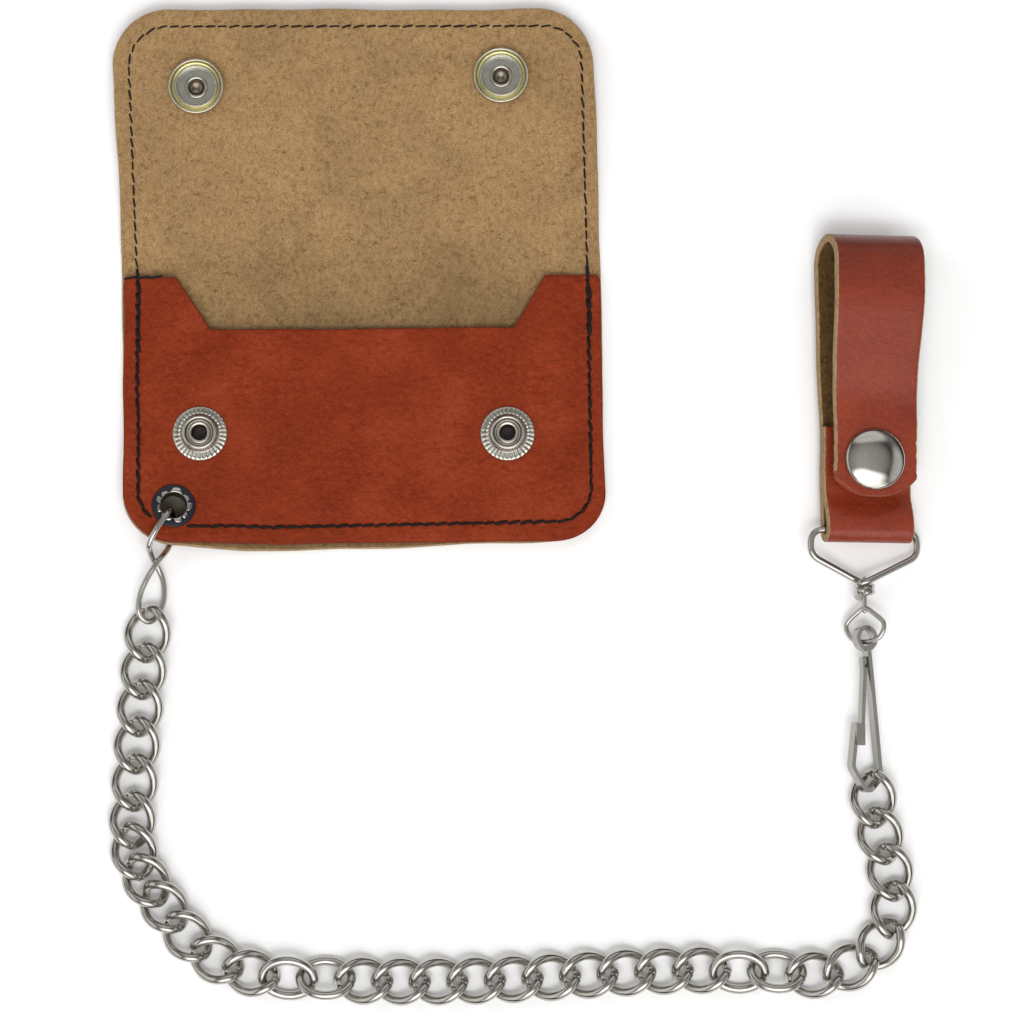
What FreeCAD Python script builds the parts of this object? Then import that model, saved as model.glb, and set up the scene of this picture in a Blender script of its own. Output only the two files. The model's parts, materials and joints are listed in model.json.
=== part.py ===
import FreeCAD, Part
import math
import os

from FreeCAD import Placement, Rotation, Vector

# Chain wallet lying open on a table, in millimetres.
# Origin: centre of the back panel's underside. +X to the wallet's right, +Y towards the flap,
# +Z up out of the table. The chain runs from the eyelet in the lower left corner, along the
# table and up to the snap hook, which hangs on the swivel of the belt strap.

doc = FreeCAD.newDocument("chain_wallet")
X_AXIS = Vector(1, 0, 0)
Y_AXIS = Vector(0, 1, 0)
Z_AXIS = Vector(0, 0, 1)

# ---------------------------------------------------------------- driving dimensions

DIMENSIONS = [
    ("panel_thickness", 1.6, "leather of the back panel, flap and pocket"),
    ("pocket_gap", 0.8, "room in the pocket between its two walls"),
    ("seam_margin", 7.0, "rim where the pocket lies flat on the back panel"),
    ("stitch_inset", 4.0, "seam line to leather edge"),
    ("thread_width", 0.7, "sewing thread"),
    ("thread_height", 0.35, "sewing thread above the leather"),
    ("fold_y", 36.25, "fold line between back panel and flap"),
    ("fold_angle", 1.05, "fold line to the X axis, degrees"),
    ("fold_gap", 0.5, "half of the slit left at the fold line"),
    ("snap_stack", 4.6, "leather to leather at a closed snap"),
    ("stud_row_x", -2.4, "middle between the two pocket studs"),
    ("stud_row_y", -8.4, "row of the pocket studs"),
    ("stud_spacing", 76.8, "between the two pocket studs"),
    ("stud_flange_radius", 6.85, "serrated flange of a stud"),
    ("stud_boss_radius", 4.4, "raised ring of a stud"),
    ("stud_boss_height", 3.2, "raised ring above the leather"),
    ("flange_height", 0.9, "flange of a stud and floor of a socket"),
    ("socket_radius", 7.05, "outer rim of a socket"),
    ("socket_recess", 5.1, "recess of a socket"),
    ("socket_height", 3.0, "rim of a socket above the leather"),
    ("spring_wire", 0.4, "spring ring in a socket"),
    ("cap_radius", 7.55, "domed snap cap"),
    ("cap_height", 3.0, "dome of a snap cap"),
    ("barrel_radius", 2.45, "barrel of a cap or post"),
    ("barrel_bore", 1.9, "hollow in the barrel"),
    ("barrel_rim", 2.9, "rolled end of the barrel"),
    ("rivet_hole", 2.6, "hole in leather and metal for a barrel"),
    ("post_head_radius", 5.0, "head of a stud's post"),
    ("post_head_height", 0.6, "head of a stud's post"),
    ("eyelet_x", -47.6, "chain eyelet"),
    ("eyelet_y", -27.2, "chain eyelet"),
    ("eyelet_bore", 3.25, "hole through the eyelet"),
    ("eyelet_wall", 0.35, "sheet of the eyelet"),
    ("washer_radius", 5.5, "black washer under the rolled eyelet"),
    ("washer_height", 0.6, "black washer"),
    ("corner_lift", 10.0, "corner bent up by the wire below it, degrees"),
    ("crease_distance", 11.0, "crease of that corner to the eyelet"),
    ("link_wire", 2.3, "wire of a chain link"),
    ("link_half_length", 6.35, "centre line of a link, half its length"),
    ("link_half_width", 4.8, "centre line of a link, half its width"),
    ("link_twist", 45.0, "turn of each end of a curb link, degrees"),
    ("flat_link_tilt", 28.0, "tilt of a link that was not twisted, degrees"),
    ("chain_clearance", 0.05, "lowest wire above the table"),
    ("butt_gap", 0.08, "between the cut ends of a bent wire"),
    ("connector_wire", 1.5, "wire of the long link at the eyelet"),
    ("hook_strip_width", 2.2, "flat wire of the snap hook, across the hook"),
    ("hook_strip_thickness", 1.1, "flat wire of the snap hook, in its plane"),
    ("hook_roll", 32.0, "snap hook rolled about its length, degrees"),
    ("swivel_roll", -25.0, "swivel eye rolled about its shank, degrees"),
    ("swivel_wire", 1.25, "wire of the swivel eye"),
    ("swivel_x", 124.6, "swivel axis"),
    ("swivel_z", 4.7, "swivel axis above the table"),
    ("loop_wire", 1.7, "wire of the strap's loop"),
    ("loop_width", 27.0, "strap's loop between wire centres"),
    ("strap_thickness", 2.0, "leather of the belt strap"),
    ("strap_width", 21.3, "belt strap"),
    ("strap_roll", 8.0, "strap rolled about the swivel axis, degrees"),
    ("strap_snap_y", -16.0, "snap of the belt strap"),
    ("strap_fold_radius", 6.5, "top fold of the strap, to mid-leather"),
    ("strap_top_y", 32.0, "middle of the strap's top fold"),
]

sheet = doc.addObject("Spreadsheet::Sheet", "Dimensions")
for row, (alias, value, meaning) in enumerate(DIMENSIONS, start=1):
    sheet.set("A%d" % row, alias)
    sheet.set("B%d" % row, str(value))
    sheet.set("C%d" % row, meaning)
    sheet.setAlias("B%d" % row, alias)
doc.recompute()


def dim(alias):
    """A driving dimension, as a plain number."""
    return float(getattr(sheet, alias))


# ---------------------------------------------------------------- helpers

nodes = []


def node(label, shape):
    """A sub-part whose shape is made with Part's own functions."""
    feature = doc.addObject("Part::Feature", label)
    feature.Label = label
    feature.Shape = shape
    nodes.append(feature)
    return feature


def origin_plane(body, role):
    """One of a body's own origin planes, by its role."""
    for feature in body.Origin.OriginFeatures:
        if feature.Role == role:
            return feature
    raise ValueError("no origin plane " + role)


def polyline_edges(points, radii):
    """Lines and tangent arcs through a closed outline of points, each corner with a radius."""
    count = len(points)
    corners = []
    for index in range(count):
        here = Vector(*points[index])
        back = (Vector(*points[index - 1]) - here).normalize()
        ahead = (Vector(*points[(index + 1) % count]) - here).normalize()
        half_turn = (math.pi - back.getAngle(ahead)) / 2
        reach = radii[index] * math.tan(half_turn)
        if radii[index] == 0:
            corners.append((here, here, here))
            continue
        middle = (back + ahead).normalize()
        centre = here + middle * (radii[index] / math.cos(half_turn))
        corners.append((here + back * reach, centre - middle * radii[index], here + ahead * reach))
    edges = []
    for index in range(count):
        start, middle, end = corners[index]
        following = corners[(index + 1) % count][0]
        if (end - start).Length > 1e-6:
            edges.append(Part.Arc(start, middle, end))
        if (following - end).Length > 1e-6:
            edges.append(Part.LineSegment(end, following))
    return edges


def outline_body(label, points, radii, base_z, height_expression):
    """A plate: a sketch of a rounded outline, padded by a length from the sheet."""
    body = doc.addObject("PartDesign::Body", label)
    body.Label = label
    sketch = body.newObject("Sketcher::SketchObject", label + "_outline")
    sketch.AttachmentSupport = [(origin_plane(body, "XY_Plane"), "")]
    sketch.MapMode = "FlatFace"
    sketch.AttachmentOffset = Placement(Vector(0, 0, base_z), Rotation())
    sketch.addGeometry([edge for edge in polyline_edges(points, radii)], False)
    pad = body.newObject("PartDesign::Pad", label + "_pad")
    pad.Profile = sketch
    pad.setExpression("Length", height_expression)
    doc.recompute()
    return body


def revolved(profile):
    """A solid of revolution about Z from (radius, height) points."""
    points = [Vector(radius, 0, height) for radius, height in profile]
    wire = Part.makePolygon(points + points[:1])
    return Part.Face(wire).revolve(Vector(), Z_AXIS, 360)


def tube(inner, outer, low, high):
    """A plain ring about Z."""
    return revolved([(inner, low), (outer, low), (outer, high), (inner, high)])


def biarc(start, start_way, end, end_way):
    """Two tangent arcs from one point and direction to another."""
    chord = end - start
    ways = start_way + end_way
    spread = 2 * (1 - start_way.dot(end_way))
    along = chord.dot(ways)
    if spread < 1e-9:
        reach = chord.dot(chord) / (2 * along)
    else:
        reach = (-along + math.sqrt(along ** 2 + spread * chord.dot(chord))) / spread
    middle = (start + start_way * reach + end - end_way * reach) * 0.5
    return [arc_between(start, start_way, middle), arc_between(end, end_way * -1, middle, True)]


def arc_between(start, way, end, backwards=False):
    """The arc that leaves start along way and reaches end."""
    chord = end - start
    half_turn = way.getAngle(chord)
    if half_turn < 1e-4:
        edge = Part.LineSegment(start, end) if not backwards else Part.LineSegment(end, start)
        return edge.toShape()
    side = (way - chord * (way.dot(chord) / chord.dot(chord))).normalize()
    middle = (start + end) * 0.5 + side * (chord.Length / 2 * math.tan(half_turn / 2))
    arc = Part.Arc(end, middle, start) if backwards else Part.Arc(start, middle, end)
    return arc.toShape()


def arcs_through(points, ways):
    """A smooth wire of tangent arcs through points with given directions."""
    edges = []
    for index in range(len(points) - 1):
        edges += biarc(points[index], ways[index], points[index + 1], ways[index + 1])
    return Part.Wire(edges)


def swept_wire(path, diameter):
    """Round wire along a path of tangent arcs."""
    start = path.Edges[0].valueAt(path.Edges[0].FirstParameter)
    way = path.Edges[0].tangentAt(path.Edges[0].FirstParameter)
    ring = Part.Wire(Part.makeCircle(diameter / 2, start, way))
    return path.makePipeShell([ring], True, False)


def bent_ring(points, diameter):
    """Round wire bent round through hand-chosen points until its two cut ends nearly meet."""
    route = [Vector(*point) for point in points]
    count = len(route)
    ways = [(route[(index + 1) % count] - route[index - 1]).normalize() for index in range(count)]
    route.append(route[0] - ways[0] * dim("butt_gap"))
    ways.append(ways[0])
    return swept_wire(arcs_through(route, ways), diameter)


def copies(shape, placements):
    """Separate copies of a shape, as one group."""
    placed = []
    for placement in placements:
        copy = shape.copy()
        copy.Placement = placement.multiply(copy.Placement)
        placed.append(copy)
    return Part.makeCompound(placed)


# ---------------------------------------------------------------- places

PANEL = dim("panel_thickness")
RIM_TOP = 2 * PANEL
POCKET_TOP = RIM_TOP + dim("pocket_gap")
CLOSED_FACE = POCKET_TOP + dim("snap_stack")
FOLD_Z = (PANEL + CLOSED_FACE) / 2
FOLD_POINT = Vector(dim("stud_row_x"), dim("fold_y"), FOLD_Z)
FOLD_WAY = Rotation(Z_AXIS, dim("fold_angle")).multVec(X_AXIS)


def across_fold(point):
    """Where a point of the closed flap lies when the flap is folded open flat."""
    offset = point - Vector(FOLD_POINT.x, FOLD_POINT.y, point.z)
    along = FOLD_WAY * offset.dot(FOLD_WAY)
    return Vector(FOLD_POINT.x, FOLD_POINT.y, point.z) + along * 2 - offset


STUD_PLACES = [
    Vector(dim("stud_row_x") + side * dim("stud_spacing") / 2, dim("stud_row_y"), POCKET_TOP)
    for side in (-1, 1)
]
SOCKET_PLACES = [across_fold(place) for place in STUD_PLACES]


def flap_tilt():
    """The open flap leans on its two caps: its angle to the table, in degrees."""
    reach = SOCKET_PLACES[0].y - FOLD_POINT.y
    drop = FOLD_Z + dim("cap_height")
    tilt = 0.0
    for _ in range(20):
        tilt = math.asin((drop * math.cos(tilt) - FOLD_Z + dim("chain_clearance")) / reach)
    return math.degrees(tilt)


FLAP_TILT = Placement(Vector(), Rotation(FOLD_WAY, flap_tilt()), FOLD_POINT)

EYELET = Vector(dim("eyelet_x"), dim("eyelet_y"), 0)
CORNER_WAY = Vector(-1, -1, 0).normalize()
CREASE_POINT = EYELET - CORNER_WAY * dim("crease_distance")
CREASE_WAY = CORNER_WAY.cross(Z_AXIS)
CORNER_LIFT = Placement(Vector(), Rotation(CREASE_WAY, dim("corner_lift")), CREASE_POINT)

# ---------------------------------------------------------------- leather of the wallet

BACK_OUTLINE = [(-60.4, -37.4), (60.8, -35.6), (59.2, 40.0), (-60.9, 40.0)]
POCKET_OUTLINE = [
    (-60.2, -36.6), (60.6, -34.9), (59.2, 32.0), (45.4, 31.9), (37.6, 18.6),
    (-38.5, 17.9), (-47.1, 31.4), (-60.2, 31.4),
]
FLAP_OUTLINE = [(-60.9, 35.0), (59.2, 35.0), (57.4, 99.4), (-64.6, 99.4)]


def with_lifted_corner(shape):
    """Bend the corner around the eyelet up along its crease."""
    size = 60
    block = Part.makeBox(size, size * 2, size * 2, Vector(0, -size, -size))
    turn = Rotation(X_AXIS, CORNER_WAY)
    block.Placement = Placement(CREASE_POINT, turn)
    corner = shape.common(block)
    corner.Placement = CORNER_LIFT.multiply(corner.Placement)
    return shape.cut(block).fuse(corner).removeSplitter()


def hole(place, radius):
    """A cutter for a hole through leather lying flat."""
    return Part.makeCylinder(radius, 40, Vector(place.x, place.y, -20))


def make_back_panel():
    """The main panel up to the fold line, with the eyelet's hole in its lifted corner."""
    slope = math.tan(math.radians(dim("fold_angle")))
    edge = FOLD_POINT.y - dim("fold_gap")
    points = [(x, min(y, edge + (x - FOLD_POINT.x) * slope), 0) for x, y in BACK_OUTLINE]
    plate = outline_body("back_panel_plate", points, [13.0, 12.0, 0, 0], 0, "Dimensions.panel_thickness")
    shape = plate.Shape.cut(hole(EYELET, dim("eyelet_bore") + dim("eyelet_wall") + 0.05))
    return node("back_panel", with_lifted_corner(shape))


def make_front_pocket():
    """The pocket's front wall: flat on its rim, and standing off the back panel inside it."""
    points = [(x, y, 0) for x, y in POCKET_OUTLINE]
    radii = [13.0, 12.0, 1.5, 0, 0, 0, 0, 1.5]
    plate = outline_body("front_pocket_plate", points, radii, PANEL, "Dimensions.panel_thickness")
    margin = dim("seam_margin")
    left, right = -60.2 + margin, 60.0 - margin
    low = -36.0 + margin
    # The room stops short of the eyelet's corner.
    room = [
        (EYELET.x + 12.5, low, 0), (right, low, 0), (right, 40.0, 0), (left, 40.0, 0),
        (left, EYELET.y + 12.5, 0),
    ]
    room_face = Part.Face(Part.makePolygon([Vector(*point) for point in room + room[:1]]))
    outline = plate.Shape.copy()
    bulge = room_face.extrude(Vector(0, 0, dim("pocket_gap")))
    raised = outline.common(room_face.extrude(Vector(0, 0, 40)))
    raised.translate(Vector(0, 0, dim("pocket_gap")))
    bulge.translate(Vector(0, 0, PANEL))
    shape = outline.fuse(raised).cut(bulge)
    for place in STUD_PLACES:
        shape = shape.cut(hole(place, dim("rivet_hole")))
    shape = shape.cut(hole(EYELET, dim("eyelet_bore") + dim("eyelet_wall") + 0.05))
    return node("front_pocket", with_lifted_corner(shape.removeSplitter()))


def make_flap():
    """The flap, folded open and leaning on its caps."""
    slope = math.tan(math.radians(dim("fold_angle")))
    edge = FOLD_POINT.y + dim("fold_gap")
    points = []
    for x, y in FLAP_OUTLINE:
        near_fold = edge + (x - FOLD_POINT.x) * slope
        points.append((x, near_fold if y < 36 else y, 0))
    plate = outline_body("flap_plate", points, [0, 0, 13.5, 14.0], 0, "Dimensions.panel_thickness")
    shape = plate.Shape.copy()
    for place in SOCKET_PLACES:
        shape = shape.cut(hole(place, dim("rivet_hole")))
    flap = node("flap", shape)
    flap.Placement = FLAP_TILT
    return flap


def seam_strip(points, radii, base_z, first, last):
    """A line of sewing along the inset of an outline, between two of its corners."""
    edges = [edge.toShape() for edge in polyline_edges(points, radii)]
    path = Part.Wire(edges[first:last])
    width = dim("thread_width")
    start = path.Edges[0].valueAt(path.Edges[0].FirstParameter)
    way = path.Edges[0].tangentAt(path.Edges[0].FirstParameter)
    side = way.cross(Z_AXIS) * (width / 2)
    rise = Vector(0, 0, dim("thread_height"))
    corners = [start - side, start + side, start + side + rise, start - side + rise]
    section = Part.makePolygon(corners + corners[:1])
    strip = path.makePipeShell([section], True, False, 1)
    strip.translate(Vector(0, 0, base_z))
    return strip


def make_pocket_stitching(front_pocket):
    """Thread down the pocket's left side, along its bottom and up its right side."""
    inset = dim("stitch_inset")
    points = [
        (-60.2 + inset, 29.5, 0), (-60.2 + inset, -36.6 + inset, 0),
        (60.6 - inset, -34.9 + inset, 0), (59.2 - inset, 29.5, 0), (0, 200.0, 0),
    ]
    strip = seam_strip(points, [0, 9.5, 9.0, 0, 0], RIM_TOP, 0, 5)
    washer = hole(EYELET, dim("washer_radius") + 0.3)
    thread = with_lifted_corner(strip).cut(washer).cut(front_pocket.Shape)
    return node("pocket_stitching", thread)


def make_flap_stitching():
    """Thread round the flap's three free sides."""
    inset = dim("stitch_inset")
    points = [
        (59.2 - inset, 39.5, 0), (57.4 - inset, 99.4 - inset, 0),
        (-64.6 + inset, 99.4 - inset, 0), (-60.9 + inset, 39.5, 0), (0, -200.0, 0),
    ]
    strip = seam_strip(points, [0, 9.5, 10.0, 0, 0], PANEL, 0, 5)
    stitching = node("flap_stitching", strip)
    stitching.Placement = FLAP_TILT.multiply(strip.Placement)
    return stitching


# ---------------------------------------------------------------- snaps

def snap_stud():
    """Stud: serrated flange, raised ring and a floor that the post is rolled over."""
    boss = dim("stud_boss_radius")
    return revolved([
        (dim("rivet_hole"), 0), (dim("stud_flange_radius"), 0),
        (dim("stud_flange_radius"), dim("flange_height") * 0.6),
        (boss + 0.6, dim("flange_height")), (boss, dim("flange_height") + 0.4),
        (boss - 0.1, dim("stud_boss_height") - 0.3), (boss - 0.4, dim("stud_boss_height")),
        (boss - 0.9, dim("stud_boss_height")), (boss - 1.0, 2.0), (dim("rivet_hole"), 2.0),
    ])


def snap_post(grip):
    """Post: a head under the leather, a barrel through it and a rim rolled over the stud."""
    top = 2.0
    head = dim("post_head_height")
    return revolved([
        (0, -grip - head), (dim("post_head_radius"), -grip - head),
        (dim("post_head_radius"), -grip), (dim("barrel_radius"), -grip),
        (dim("barrel_radius"), top), (dim("barrel_rim"), top), (dim("barrel_rim"), top + 0.4),
        (dim("barrel_radius"), top + 0.7), (dim("barrel_bore"), top + 0.7),
        (dim("barrel_bore"), -grip + 0.1), (0, -grip + 0.1),
    ])


def snap_socket():
    """Socket: a cup with a rolled outer rim."""
    outer = dim("socket_radius")
    rim = dim("socket_height")
    recess = dim("socket_recess")
    return revolved([
        (dim("rivet_hole"), 0), (outer - 0.7, 0), (outer, 0.7), (outer, rim - 0.6),
        (outer - 0.6, rim), (recess + 0.5, rim), (recess, rim - 0.5),
        (recess, dim("flange_height")), (dim("rivet_hole"), dim("flange_height")),
    ])


def snap_spring():
    """Spring: a split ring just inside the socket's recess."""
    outer = dim("socket_recess") - 0.1
    ring = tube(outer - dim("spring_wire"), outer, 1.4, 2.2)
    slit = Part.makeBox(4, 1.6, 4, Vector(outer - 2, -0.8, 0))
    return ring.cut(slit)


def snap_cap(grip):
    """Cap: a low dome with a barrel through the leather, rolled over the socket's floor."""
    radius = dim("cap_radius")
    height = dim("cap_height")
    sphere = (radius ** 2 + (height - 0.5) ** 2) / (2 * (height - 0.5))
    dome = Part.makeSphere(sphere, Vector(0, 0, -grip - height + sphere))
    disc = Part.makeCylinder(radius, height, Vector(0, 0, -grip - height))
    top = dim("flange_height")
    barrel = revolved([
        (0, -grip - 1.0), (dim("barrel_radius"), -grip - 1.0), (dim("barrel_radius"), top),
        (dim("barrel_rim"), top), (dim("barrel_rim"), top + 0.2), (dim("barrel_radius"), top + 0.4),
        (dim("barrel_bore"), top + 0.4), (dim("barrel_bore"), -grip + 0.1), (0, -grip + 0.1),
    ])
    return disc.common(dome).fuse(barrel).removeSplitter()


def make_wallet_snaps():
    """Two studs on the pocket, and two sockets with their caps on the flap."""
    studs = [Placement(place, Rotation()) for place in STUD_PLACES]
    node("pocket_studs", copies(snap_stud(), studs))
    node("stud_posts", copies(snap_post(PANEL), studs))
    flap_face = [Placement(Vector(place.x, place.y, PANEL), Rotation()) for place in SOCKET_PLACES]
    for label, shape in (
        ("flap_sockets", snap_socket()),
        ("flap_caps", snap_cap(PANEL)),
        ("socket_springs", snap_spring()),
    ):
        group = node(label, copies(shape, flap_face))
        group.Placement = FLAP_TILT


def make_eyelet():
    """Eyelet through the lifted corner: flange below, rolled rim above, black washer under it."""
    bore = dim("eyelet_bore")
    wall = dim("eyelet_wall")
    top = RIM_TOP + dim("washer_height")
    place = Placement(EYELET, Rotation())
    eyelet = revolved([
        (bore, -wall), (dim("washer_radius") - 0.3, -wall), (dim("washer_radius") - 0.3, 0),
        (bore + wall, 0), (bore + wall, top), (bore + wall + 0.8, top),
        (bore + wall + 0.6, top + wall), (bore, top + wall),
    ])
    washer = tube(bore + wall + 0.05, dim("washer_radius"), RIM_TOP, top)
    for label, shape in (("chain_eyelet", eyelet), ("eyelet_washer", washer)):
        shape.Placement = place
        node(label, shape).Placement = CORNER_LIFT.multiply(place)


# ---------------------------------------------------------------- chain

# The chain's route along the table, chosen by hand from the eyelet's side to the hook.
CHAIN_ROUTE = [
    (-53.4, -58.4), (-54.6, -71.0), (-55.8, -87.0), (-56.5, -102.0), (-56.0, -113.0),
    (-51.9, -121.4), (-46.6, -128.6), (-40.6, -135.4), (-32.6, -140.4), (-22.0, -143.0),
    (-8.0, -143.8), (12.0, -144.2), (40.0, -143.5), (66.0, -142.0), (86.0, -141.4),
    (104.0, -142.2), (114.0, -142.4), (122.4, -139.6), (128.6, -133.6), (131.0, -125.6),
    (129.9, -116.0), (126.3, -99.4),
]
# Links that were left flat when the chain was twisted: which way they tilt and step aside.
FLAT_LINKS = {13: (1, 0.0), 14: (-1, 0.4), 25: (1, -0.3), 26: (-1, 0.3)}
LINK_COUNT = 33
# The cut ends of a link's wire meet here, counted round the link from its far end.
BUTT_ANGLE = math.radians(-12)
CLOSE_LINKS = (6, 9)
CLOSE_SHARE = 0.85


def link_path(left_angle, right_angle):
    """Centre line of a link along X whose ends are turned about X, as tangent arcs."""
    half_length = dim("link_half_length")
    half_width = dim("link_half_width")
    mean = math.radians(left_angle + right_angle) / 2
    half = math.radians(right_angle - left_angle) / 2

    def place(angle):
        turn = mean + half * math.cos(angle)
        side = half_width * math.sin(angle)
        return Vector(half_length * math.cos(angle), side * math.cos(turn), side * math.sin(turn))

    step = 1e-4
    spans = 12
    slit = dim("butt_gap") / half_width
    sweep = 2 * math.pi - slit
    angles = [BUTT_ANGLE + slit / 2 + sweep * index / spans for index in range(spans + 1)]
    points = [place(angle) for angle in angles]
    ways = [(place(angle + step) - place(angle - step)).normalize() for angle in angles]
    return arcs_through(points, ways)


def link_shapes():
    """A twisted link, and the two ways that an untwisted one tilts."""
    twist = dim("link_twist")
    tilted = dim("flat_link_tilt")
    wire = dim("link_wire")
    return {
        0: swept_wire(link_path(twist, -twist), wire),
        1: swept_wire(link_path(tilted, tilted), wire),
        -1: swept_wire(link_path(-tilted, -tilted), wire),
    }


LINK_SHAPES = link_shapes()


def chain_frames():
    """Where each link lies: its middle, heading in degrees, and tilt (0 for a twisted link)."""
    route = Part.BSplineCurve()
    route.interpolate([Vector(x, y, 0) for x, y in CHAIN_ROUTE])
    edge = route.toShape()
    shares = []
    for joint in range(1, LINK_COUNT):
        shares.append(CLOSE_SHARE if CLOSE_LINKS[0] <= joint < CLOSE_LINKS[1] else 1.0)
    pitch = edge.Length / sum(shares)
    middles = []
    travelled = 0.0
    for number in range(1, LINK_COUNT + 1):
        parameter = edge.getParameterByLength(min(travelled, edge.Length))
        middle = edge.valueAt(parameter)
        way = edge.tangentAt(parameter)
        tilt, aside = FLAT_LINKS.get(number, (0, 0.0))
        middles.append((middle + Z_AXIS.cross(way) * aside, way, tilt))
        if number < LINK_COUNT:
            travelled += pitch * shares[number - 1]
    frames = []
    for middle, way, tilt in middles:
        height = dim("chain_clearance") - LINK_SHAPES[tilt].BoundBox.ZMin
        heading = math.degrees(math.atan2(way.y, way.x))
        frames.append((Vector(middle.x, middle.y, height), heading, tilt))
    return frames


def make_chain():
    """Thirty-three links, most of them twisted like a curb chain's."""
    for number, (middle, heading, tilt) in enumerate(chain_frames(), start=1):
        link = node("link_%02d" % number, LINK_SHAPES[tilt].copy())
        link.Placement = Placement(middle, Rotation(Z_AXIS, heading))


def make_connector():
    """Long wire link through the eyelet: one strand above the leather, one below, crossing once."""
    route = [
        (-47.6, -27.7, 4.4), (-48.2, -28.7, 7.6), (-50.9, -32.8, 8.7), (-52.8, -36.6, 7.7),
        (-52.6, -39.0, 4.5), (-51.3, -41.4, 2.3), (-49.8, -45.2, 1.5), (-49.6, -49.6, 1.4),
        (-51.0, -53.8, 1.9), (-53.3, -55.4, 2.9), (-55.5, -53.4, 4.1), (-55.2, -48.8, 4.6),
        (-53.3, -44.4, 4.9), (-50.9, -40.6, 4.7), (-48.7, -37.2, 2.3), (-47.7, -33.6, 1.4),
        (-47.6, -30.4, 1.18),
    ]
    return node("connector_link", bent_ring(route, dim("connector_wire")))


# ---------------------------------------------------------------- belt strap

SWIVEL = Vector(dim("swivel_x"), 0, dim("swivel_z"))
STRAP_ROLL = Placement(Vector(), Rotation(Y_AXIS, dim("strap_roll")), SWIVEL)
# Inside the strap's frame, heights are measured from the back layer's underside.
STRAP_FLOOR = dim("swivel_z") - 3.15
LEATHER = dim("strap_thickness")
BAR_Y = -32.7
BAR_Z = LEATHER + 1.15
TOP_Y = dim("strap_top_y")
TOP_Z = LEATHER / 2 + dim("strap_fold_radius") * 2
SNAP_Y = dim("strap_snap_y")
TAB_TOP = 2 * LEATHER + 0.1
FRONT_LOW = TAB_TOP + dim("snap_stack")


def strip_profile(points, radii, thickness):
    """Edges of a bent strip: straight runs and tangent arcs, offset to both sides."""
    route = [Vector(0, y, z) for y, z in points]
    left = []
    right = []
    for index, here in enumerate(route):
        if index in (0, len(route) - 1):
            other = route[1] if index == 0 else route[-2]
            way = (other - here).normalize() if index == 0 else (here - other).normalize()
            side = X_AXIS.cross(way) * (thickness / 2)
            left.append([here + side])
            right.append([here - side])
            continue
        back = (route[index - 1] - here).normalize()
        ahead = (route[index + 1] - here).normalize()
        middle = (back + ahead).normalize()
        half_turn = (math.pi - back.getAngle(ahead)) / 2
        centre = here + middle * (radii[index - 1] / math.cos(half_turn))
        turn_left = X_AXIS.cross(back * -1).dot(middle) > 0
        start = here + back * (radii[index - 1] * math.tan(half_turn))
        end = here + ahead * (radii[index - 1] * math.tan(half_turn))
        near = radii[index - 1] - thickness / 2
        far = radii[index - 1] + thickness / 2

        def bend(radius):
            spokes = [(start - centre).normalize(), middle * -1, (end - centre).normalize()]
            return [centre + spoke * radius for spoke in spokes]

        left.append(bend(near if turn_left else far))
        right.append(bend(far if turn_left else near))
    return side_edges(left, right)


def side_edges(left, right):
    """Closed outline from the two sides of a strip."""
    edges = []
    sides = (left, [list(reversed(stop)) for stop in reversed(right)])
    corners = []
    for side in sides:
        for index, stop in enumerate(side):
            if len(stop) == 3:
                edges.append(Part.Arc(*stop).toShape())
            if index < len(side) - 1:
                edges.append(Part.makeLine(stop[-1], side[index + 1][0]))
        corners.append((side[0][0], side[-1][-1]))
    edges.append(Part.makeLine(corners[0][1], corners[1][0]))
    edges.append(Part.makeLine(corners[1][1], corners[0][0]))
    return Part.Wire(Part.__sortEdges__(edges))


def strap_shape(points, radii):
    """A leather strip of the strap's width, in the strap's frame."""
    face = Part.Face(strip_profile(points, radii, LEATHER))
    face.translate(Vector(SWIVEL.x - dim("strap_width") / 2, 0, STRAP_FLOOR))
    return face.extrude(Vector(dim("strap_width"), 0, 0))


def strap_hole(radius):
    """A cutter for the snap's hole through the strap."""
    return Part.makeCylinder(radius, 60, Vector(SWIVEL.x, SNAP_Y, -20))


def make_strap_back():
    """Back layer with the tab folded up round the bar, and the top fold's outer half."""
    mid = LEATHER / 2
    radius = dim("strap_fold_radius")
    points = [
        (-7.0, TAB_TOP - mid), (-24.5, TAB_TOP - mid), (-30.5, BAR_Z + 2.15), (BAR_Y - 2.15, BAR_Z + 2.15),
        (BAR_Y - 2.15, mid), (TOP_Y + radius, mid), (TOP_Y + radius, TOP_Z), (TOP_Y + 0.05, TOP_Z),
    ]
    radii = [8.0, 5.0, 2.05, 2.05, radius - 0.2, radius - 0.2]
    shape = strap_shape(points, radii).cut(strap_hole(dim("rivet_hole")))
    node("strap_back", shape).Placement = STRAP_ROLL


def make_strap_front():
    """Front layer from the top fold down to the rounded tip under the cap."""
    mid = LEATHER / 2
    points = [(TOP_Y - 0.05, TOP_Z), (24.0, TOP_Z - 0.2), (-6.0, FRONT_LOW + mid), (-25.2, FRONT_LOW + mid)]
    shape = strap_shape(points, [30.0, 30.0])
    tip = Part.makeCylinder(13.5, 60, Vector(SWIVEL.x, -11.7, -20))
    body = Part.makeBox(60, 80, 60, Vector(SWIVEL.x - 30, -11.7, -20))
    shape = shape.common(tip.fuse(body)).cut(strap_hole(dim("rivet_hole")))
    node("strap_front", shape).Placement = STRAP_ROLL


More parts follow.
